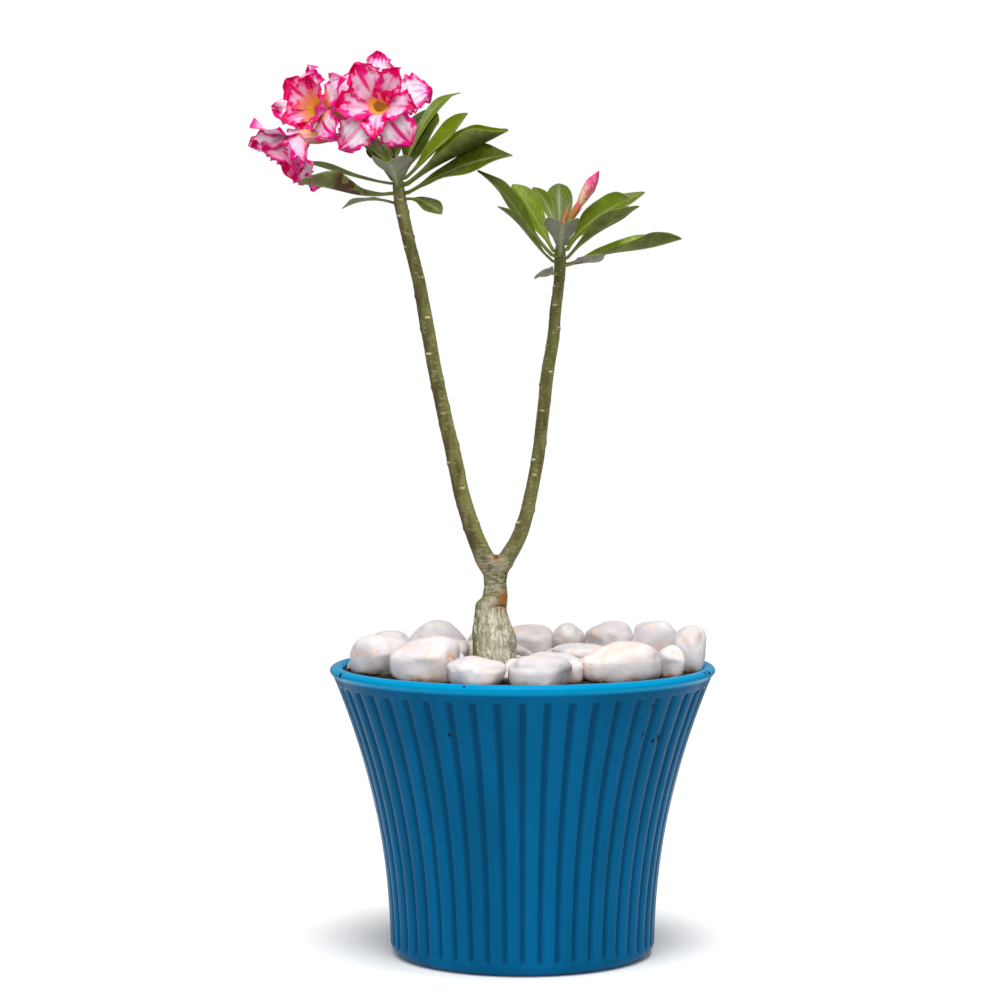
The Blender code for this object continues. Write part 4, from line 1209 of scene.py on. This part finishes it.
def make_leaf(side_name, row, look):
    """One leaf: arched and folded about its midrib, wavy at its margins, on a short stalk."""
    number, height, azimuth, base_rise, tip_rise, length, width, roll, fold, point, *tones = row
    azimuth, base_rise, tip_rise = map(math.radians, (azimuth, base_rise, tip_rise))
    roll, fold = math.radians(roll), math.radians(fold)
    chance = random.Random(number * 7.7 + len(side_name))
    shares = 1.0 - (1.0 - np.linspace(0.0, 1.0, LEAF_GRID[0])) ** 1.35
    across = np.sin(np.linspace(-math.pi / 2, math.pi / 2, LEAF_GRID[1]))
    widths = leaf_widths(shares, width, point)
    wave_size, wave_phase = chance.uniform(0.02, 0.05) * width, chance.uniform(0.0, TAU)
    twist = math.radians(TWISTS.get((side_name, number), chance.uniform(-9.0, 9.0)))
    droop = chance.uniform(-1.0, 1.0) * 0.02 * length

    centre, radius = stem_point(STEMS[side_name], height)
    out = heading(azimuth)
    foot = centre + out * (radius + STALK_GAP)
    spin = Quaternion(UP, azimuth)
    spine, last = Vector(), 0.0
    middle = np.zeros((*LEAF_GRID, 3))
    for i, share in enumerate(shares):
        rise = base_rise + (tip_rise - base_rise) * (share + last) / 2
        spine = spine + leaf_axes(rise, roll)[0] * length * (share - last)
        last = share
        rise = base_rise + (tip_rise - base_rise) * share
        _, side, up = leaf_axes(rise, roll + twist * share ** 2)
        opened = float(smoothstep(0.05, 0.35, share))
        bow = droop * math.sin(TAU * share)
        for j, v in enumerate(across):
            reach = abs(v) ** 1.15
            wave = math.sin(wave_phase * (1.0 if v > 0 else 1.7) + share * 13.0) * wave_size
            lift = widths[i] * reach * math.sin(fold) + wave * reach ** 2 * opened + bow
            local = spine + side * v * widths[i] * math.cos(fold * reach) + up * lift
            middle[i, j] = foot + spin @ local
    middle[0] -= np.array(out * (radius * 0.6 + 2 * STALK_GAP))

    v, share = np.meshgrid(across, shares)
    round_off = np.sqrt(np.clip(1.02 - v ** 2, 0.0, 1.0))
    keel = np.exp(-((v * widths[:, None] / 0.9) ** 2)) * (1.0 - 0.75 * share)
    halves = 0.24 + 0.3 * round_off * (1.0 - share) + 0.42 * keel
    halves = np.where(share < 0.12, np.maximum(halves, 0.85 * round_off), halves)
    verts, faces = leaf_sheet(middle, -grid_normals(middle), halves)
    marks = leaf_marks(shares, across, widths, length, tones, 0.3 + 0.65 * point)
    place = f"{side_name}_{number:02d}"
    add_piece(f"blade_{place}", verts, faces, look, (f"leaf_{place}",), marks)


def make_young_leaves(side_name, look):
    """Tuft of small new leaves standing at a stem's growing tip."""
    top = Vector(STEMS[side_name][-1][:3]) - UP * 2.5
    shares = np.linspace(0.0, 1.0, 14)
    across = np.linspace(-1.0, 1.0, 7)
    tuft = Bundle()
    for i in range(YOUNG_LEAVES):
        azimuth, rise = math.radians(SPIRAL * i + 20.0), math.radians(78.0 - 6.0 * i)
        length, width = 9.0 + 1.6 * i, 2.4 + 0.3 * i
        out = heading(azimuth)
        side = UP.cross(out)
        middle = np.zeros((len(shares), len(across), 3))
        for a, share in enumerate(shares):
            breadth = width / 2 * math.sin(math.pi * min(0.98, 0.12 + 0.86 * share)) ** 0.8
            spine = top + out * (1.0 + length * share * math.cos(rise))
            spine = spine + UP * length * share * math.sin(rise)
            for b, v in enumerate(across):
                middle[a, b] = spine + side * breadth * v - out * breadth * 0.5 * v * v
        sheet = leaf_sheet(middle, grid_normals(middle), np.full(middle.shape[:2], 0.3))
        tuft.add(*sheet, tone=0.8, pale=0.5)
    tuft.piece(f"young_leaves_{side_name}", look)


# ---------------------------------------------------------------- flowers

def petal(spot, spin, angle, size, width, start, rises, cup, ruffle, chance):
    """One ruffled petal on the flower's own axes (+Z faces out): a thin closed blade, its places
    along and across, and its half widths."""
    shares = 1.0 - (1.0 - np.linspace(0.0, 1.0, PETAL_GRID[0])) ** 1.25
    across = np.linspace(-1.0, 1.0, PETAL_GRID[1])
    widths = spline(PETAL_OUTLINE, shares)[:, 0] * width / 2
    lean, sway = chance.uniform(-0.14, 0.14), chance.uniform(-2.0, 2.0)
    waves = chance.uniform(1.5, 2.3)
    phases = (chance.uniform(0, TAU), chance.uniform(0, TAU))
    rise_0, rise_1 = (math.radians(r + chance.uniform(-5, 5)) for r in rises)
    turn = math.radians(angle)
    spine_out, spine_up, last = *start, 0.0
    middle = np.zeros((*PETAL_GRID, 3))
    for i, share in enumerate(shares):
        rise = rise_0 + (rise_1 - rise_0) * ((share + last) / 2) ** 0.8
        spine_out += math.cos(rise) * size * (share - last)
        spine_up += math.sin(rise) * size * (share - last)
        last = share
        loose = float(smoothstep(0.12, 0.65, share))
        at_tip = float(smoothstep(0.66, 1.0, share))
        hub = spine_out + PETAL_HUB
        for j, v in enumerate(across):
            own = phases[int(v > 0)]
            wave = math.sin(waves * TAU * share + own)
            wave += 0.35 * math.sin(2.3 * waves * TAU * share + 2.0 * own)
            lift = cup * v * v * (0.4 + 0.6 * share) + wave * ruffle * loose * abs(v) ** 2.0
            lift += ruffle * at_tip * math.sin(4.2 * v + phases[0]) - 0.5 * ruffle * at_tip
            scallop = 1.0 + 0.11 * loose * math.sin(3.3 * waves * TAU * share + own) * abs(v)
            sideways = v * widths[i] * scallop + lean * width * share * share
            sideways += sway * math.sin(2.6 * share) * share
            bend = 0.8 * sideways / hub
            out = hub * math.cos(bend) - PETAL_HUB - lift * math.sin(rise)
            aside = 1.15 * hub * math.sin(bend)
            x = out * math.cos(turn) - aside * math.sin(turn)
            y = out * math.sin(turn) + aside * math.cos(turn)
            middle[i, j] = spot + spin @ Vector((x, y, spine_up + lift * math.cos(rise)))
    crumple = 0.4 * field(middle.reshape(-1, 3), 6.0, angle, 1).reshape(PETAL_GRID)
    normals = grid_normals(middle)
    middle += normals * (crumple * smoothstep(0.1, 0.5, shares)[:, None])[..., None]
    v, share = np.meshgrid(across, shares)
    verts, faces = leaf_sheet(middle, normals, 0.16 + 0.2 * (1.0 - share) * (1.0 - v ** 2))
    return verts, faces, share, v, widths


def petal_marks(share, v, widths, size, stripe_strength, tint, reach):
    """Point values of a petal's colours, first those of its inner face and then of its back."""
    margin = np.minimum((1.0 - np.abs(v)) * widths[:, None], (1.0 - share) * size * 0.55)
    wide = 0.07 + 0.13 * share
    stripe = (1.0 - smoothstep(0.4, 1.3, np.abs(v) / wide)) * smoothstep(0.15, 0.45, share)
    stripe *= stripe_strength
    lines = np.abs(np.sin(v * 9.0 + 1.5 * share)) ** 4 * smoothstep(0.2, 0.5, share)
    throat = 1.0 - smoothstep(0.05, reach + 0.1 * tint, share)
    even = np.ones_like(share)
    return both_faces({
        "margin": (margin,) * 2, "stripe": (stripe, 0.6 * stripe), "lines": (lines,) * 2,
        "throat": (throat, 0.5 * throat), "tint": (tint * even,) * 2, "back": (0 * even, even),
    })


def make_flower_tube(number, throat, mouth, spin, foot, look, nodes):
    """Trumpet tube: ribbed outside, open throat inside."""
    sides = TUBE_SIDES
    angles = round_angles(sides)
    foot_local = spin.inverted() @ (foot - throat)
    rings, marks = [], {"back": [], "along": [], "lines": []}
    rib = 0.5 + 0.5 * np.cos(angles * 10)

    def add_ring(centre, axis, radii, is_back, share):
        turn = UP.rotation_difference(axis)
        for angle, radius in zip(angles, radii):
            local = centre + turn @ heading(angle) * float(radius)
            rings.append(throat + spin @ local)
        marks["back"].extend([is_back] * sides)
        marks["along"].extend([share] * sides)
        marks["lines"].extend(rib ** 3)

    tube_axis = (-foot_local).normalized()
    outline = (
        (0.0, TUBE_FOOT_RADIUS), (0.25, 2.6), (0.5, TUBE_MIDDLE_RADIUS), (0.8, 0.88 * mouth),
        (1.0, mouth + 0.4),
    )
    for share in np.linspace(0.0, 1.0, 16):
        radius = float(spline(outline, [share])[0, 0])
        axis = tube_axis.lerp(UP, float(smoothstep(0.4, 1.0, share))).normalized()
        add_ring(foot_local * (1.0 - share), axis, radius * (1 + 0.05 * rib * share), 1.0, share)
    add_ring(Vector((0.0, 0.0, 1.6)), UP, np.full(sides, mouth + 1.8), 1.0, 1.0)
    add_ring(Vector((0.0, 0.0, 1.7)), UP, np.full(sides, mouth + 1.2), 0.0, 1.0)
    for share in np.linspace(0.0, 1.0, 9):
        axis = tube_axis.lerp(UP, 1.0 - share).normalized()
        radius = (mouth - 0.5) * (1.0 - 0.62 * share)
        add_ring(axis * -(share * THROAT_DEPTH), axis, radius * (1 - 0.04 * rib), 0.0, 1.0 - share)
    faces = capped_faces(len(rings) // sides, sides)
    verts = rings + [throat + spin @ foot_local, throat + spin @ (tube_axis * -(THROAT_DEPTH + 1.0))]
    poles = {"back": [1.0, 0.0], "along": [0.0, 0.0], "lines": [0.0, 0.0]}
    marks = {label: values + poles[label] for label, values in marks.items()}
    add_piece(f"flower_{number}_tube", verts, faces, look, nodes, marks)


def make_stalk(name, foot, top, end_axis, calyx, look, nodes, sepal_length, flush=0.25):
    """Curved flower stalk that widens into a calyx of that radius with five pointed sepals."""
    foot, top = Vector(foot), Vector(top)
    end_axis = Vector(end_axis).normalized()
    bend = top - end_axis * (top - foot).length * 0.45
    steps = np.linspace(0.0, 1.0, 22)
    centres = [foot * (1 - t) ** 2 + bend * 2 * t * (1 - t) + top * t ** 2 for t in steps]
    outline = (
        (0.0, STALK_RADIUS), (0.4, STALK_RADIUS), (0.75, STALK_RADIUS * 1.25), (0.9, calyx),
        (1.0, calyx * 0.9),
    )
    bundle = Bundle()
    shade = flush * smoothstep(0.55, 1.0, np.append(np.repeat(steps, STALK_SIDES), [0.0, 1.0]))
    bundle.add(*tube(centres, spline(outline, steps)[:, 0], STALK_SIDES), flush=shade)
    spin = UP.rotation_difference(end_axis)
    shares = np.linspace(0.0, 1.0, SEPAL_GRID[0])
    across = np.linspace(-1, 1, SEPAL_GRID[1])
    dried = np.tile(np.repeat(flush + (1 - flush) * shares ** 1.5, len(across)), 2)
    for i in range(SEPALS):
        turn = TAU * i / SEPALS
        out = heading(turn)
        side = Vector((-math.sin(turn), math.cos(turn), 0.0))
        middle = np.zeros((*SEPAL_GRID, 3))
        for a, share in enumerate(shares):
            breadth = calyx * 0.62 * (1 - share) ** 0.7 + 0.05
            spine = out * (calyx * (0.92 + 0.25 * share)) + UP * (share * sepal_length - 1.0)
            for b, v in enumerate(across):
                middle[a, b] = top + spin @ (spine + side * breadth * v - out * 0.35 * breadth * v * v)
        bundle.add(*leaf_sheet(middle, grid_normals(middle), np.full(SEPAL_GRID, 0.22)), flush=dried)
    bundle.piece(name, look, nodes)


def make_flower(row, looks):
    """Stalk, tube and whorls of ruffled petals of one double flower."""
    number, length, turned, lift, mouth, reach, stalk_foot, tube_foot, throat, facing = row
    tube_foot, throat = Vector(tube_foot), Vector(throat)
    spin = UP.rotation_difference(Vector(facing))
    make_stalk(
        f"flower_{number}_stalk", stalk_foot, tube_foot, throat - tube_foot, FLOWER_CALYX,
        looks["stalk"], (f"pedicel_{number}",), 6.0,
    )
    outer_nodes = (f"petals_outer_{number}",)
    make_flower_tube(number, throat, mouth, spin, tube_foot, looks["tube"], outer_nodes)
    chance = random.Random(40 + number)
    for name, petals in WHORLS.items():
        if name == "heart" and mouth > OPEN_MOUTH:
            continue
        radius, height, cup, ruffle, tint = WHORL_SHAPES[name]
        whorl = Bundle()
        for angle, share, width, rise_foot, rise_tip, stripe in petals:
            size = length * share * chance.uniform(0.96, 1.04)
            verts, faces, *places = petal(
                throat, spin, angle + turned + image_turn(spin), size, width * length / PETAL_LENGTH,
                (radius * mouth, height), (rise_foot + lift, rise_tip + lift), cup, ruffle, chance,
            )
            whorl.add(verts, faces, **petal_marks(*places, size, stripe, tint, reach))
        kind = "outer" if name == "outer" else "inner"
        nodes = (f"petals_{kind}_{number}",)
        whorl.piece(f"flower_{number}_{name}", looks["petal"], nodes)


def image_turn(spin):
    """Degrees from the flower's local +X to the direction nearest world +X in its own plane."""
    across = spin.inverted() @ Vector((1.0, 0.0, 0.0))
    return math.degrees(math.atan2(across.y, across.x))


def make_bud(name, foot, tip, radius, look, node, withered=0.0):
    """Furled bud whose petals wind round it in a spiral."""
    foot, tip = Vector(foot), Vector(tip)
    axis = tip - foot
    steps = np.linspace(0.0, 1.0, BUD_GRID[0])
    sides = BUD_GRID[1]
    angles = round_angles(sides)
    spin = UP.rotation_difference(axis.normalized())
    verts, seams = [], []
    for share, size in zip(steps, spline(BUD_OUTLINE, steps)[:, 0]):
        saw = ((angles + share * 4.2) * 5 / TAU) % 1.0
        swell = 0.90 + 0.20 * saw * smoothstep(0.1, 0.4, share)
        for angle, s in zip(angles, swell):
            x, y = (turned * s * size * radius for turned in (math.cos(angle), math.sin(angle)))
            verts.append(foot + spin @ Vector((x, y, axis.length * share)))
        seams.extend(np.maximum(smoothstep(0.82, 1.0, saw), 1 - smoothstep(0.0, 0.12, saw)))
    verts += [foot, tip]
    marks = {
        "along": np.append(np.repeat(steps, sides), [0.0, 1.0]), "seam": seams + [0.0, 0.0],
        "withered": np.full(len(verts), withered),
    }
    add_piece(name, verts, capped_faces(len(steps), sides), look, (node,), marks)


def make_buds(looks):
    """Stalked bud and the small bud beside it."""
    stalk_foot, foot, tip, radius = BUD
    axis = Vector(tip) - Vector(foot)
    nodes = ("pedicel_bud",)
    make_stalk("bud_stalk", stalk_foot, foot, axis, BUD_CALYX, looks["stalk"], nodes, 5.5, 0.9)
    make_bud("furled_bud", foot, tip, radius, looks["bud"], "bud")
    make_bud("furled_bud_small", *SMALL_BUD, looks["bud"], "bud_small", 0.85)


# ---------------------------------------------------------------- stage

def direction(rise, azimuth):
    """Unit vector at a rise and an azimuth in degrees."""
    rise, azimuth = math.radians(rise), math.radians(azimuth)
    flat = math.cos(rise)
    return Vector((flat * math.cos(azimuth), flat * math.sin(azimuth), math.sin(rise)))


def make_floor():
    """Round pale floor, which is scenery and not part of the object."""
    look = Look("pale_floor", 0.9, Specular_IOR_Level=0.0)
    look.paint((0.92, 0.92, 0.92), (look.noise(60.0, 3.0), (0.95, 0.95, 0.95)))
    mesh = bpy.data.meshes.new("floor")
    bm = bmesh.new()
    bmesh.ops.create_circle(bm, cap_ends=True, segments=96, radius=FLOOR_REACH)
    bm.to_mesh(mesh)
    bm.free()
    mesh.materials.append(look.material)
    floor = link("floor", mesh)


def make_stage():
    """White surroundings, soft studio lights and the camera."""
    world = bpy.data.worlds.new("studio")
    world.use_nodes = True
    tree = world.node_tree
    seen = tree.nodes.new("ShaderNodeLightPath").outputs["Is Camera Ray"]
    share = tree.nodes.new("ShaderNodeMapRange")
    share.inputs["To Min"].default_value = SURROUNDINGS
    tree.links.new(seen, share.inputs["Value"])
    tree.nodes["Background"].inputs["Color"].default_value = (1.0, 1.0, 1.0, 1.0)
    tree.links.new(share.outputs["Result"], tree.nodes["Background"].inputs["Strength"])
    bpy.context.scene.world = world

    for name, rise, azimuth, angle, strength in SUNS:
        light = bpy.data.lights.new(name, "SUN")
        light.angle = math.radians(angle)
        light.energy = strength
        link(name, light).rotation_euler = direction(rise, azimuth).to_track_quat("Z", "Y").to_euler()

    camera = bpy.data.cameras.new("camera")
    camera.lens = LENS
    camera.sensor_width = 36.0
    eye = link("camera", camera)
    eye.location = EYE
    eye.rotation_euler = (Vector(AIM) - Vector(EYE)).to_track_quat("-Z", "Y").to_euler()
    bpy.context.scene.camera = eye
    bpy.context.scene.view_settings.view_transform = "Standard"


def main():
    make_floor()
    make_stage()
    make_pot(pot_look())
    make_soil(soil_look())
    pebble = pebble_look()
    make_pebbles(pebble)
    make_small_stones(pebble)
    make_trunk(trunk_look())
    leaf = leaf_look()
    for side, rows in LEAVES.items():
        for row in rows:
            make_leaf(side, row, leaf)
        make_young_leaves(side, leaf)
    looks = {"petal": petal_look(), "tube": tube_look(), "stalk": stalk_look(), "bud": bud_look()}
    for row in FLOWERS:
        make_flower(row, looks)
    make_buds(looks)


main()
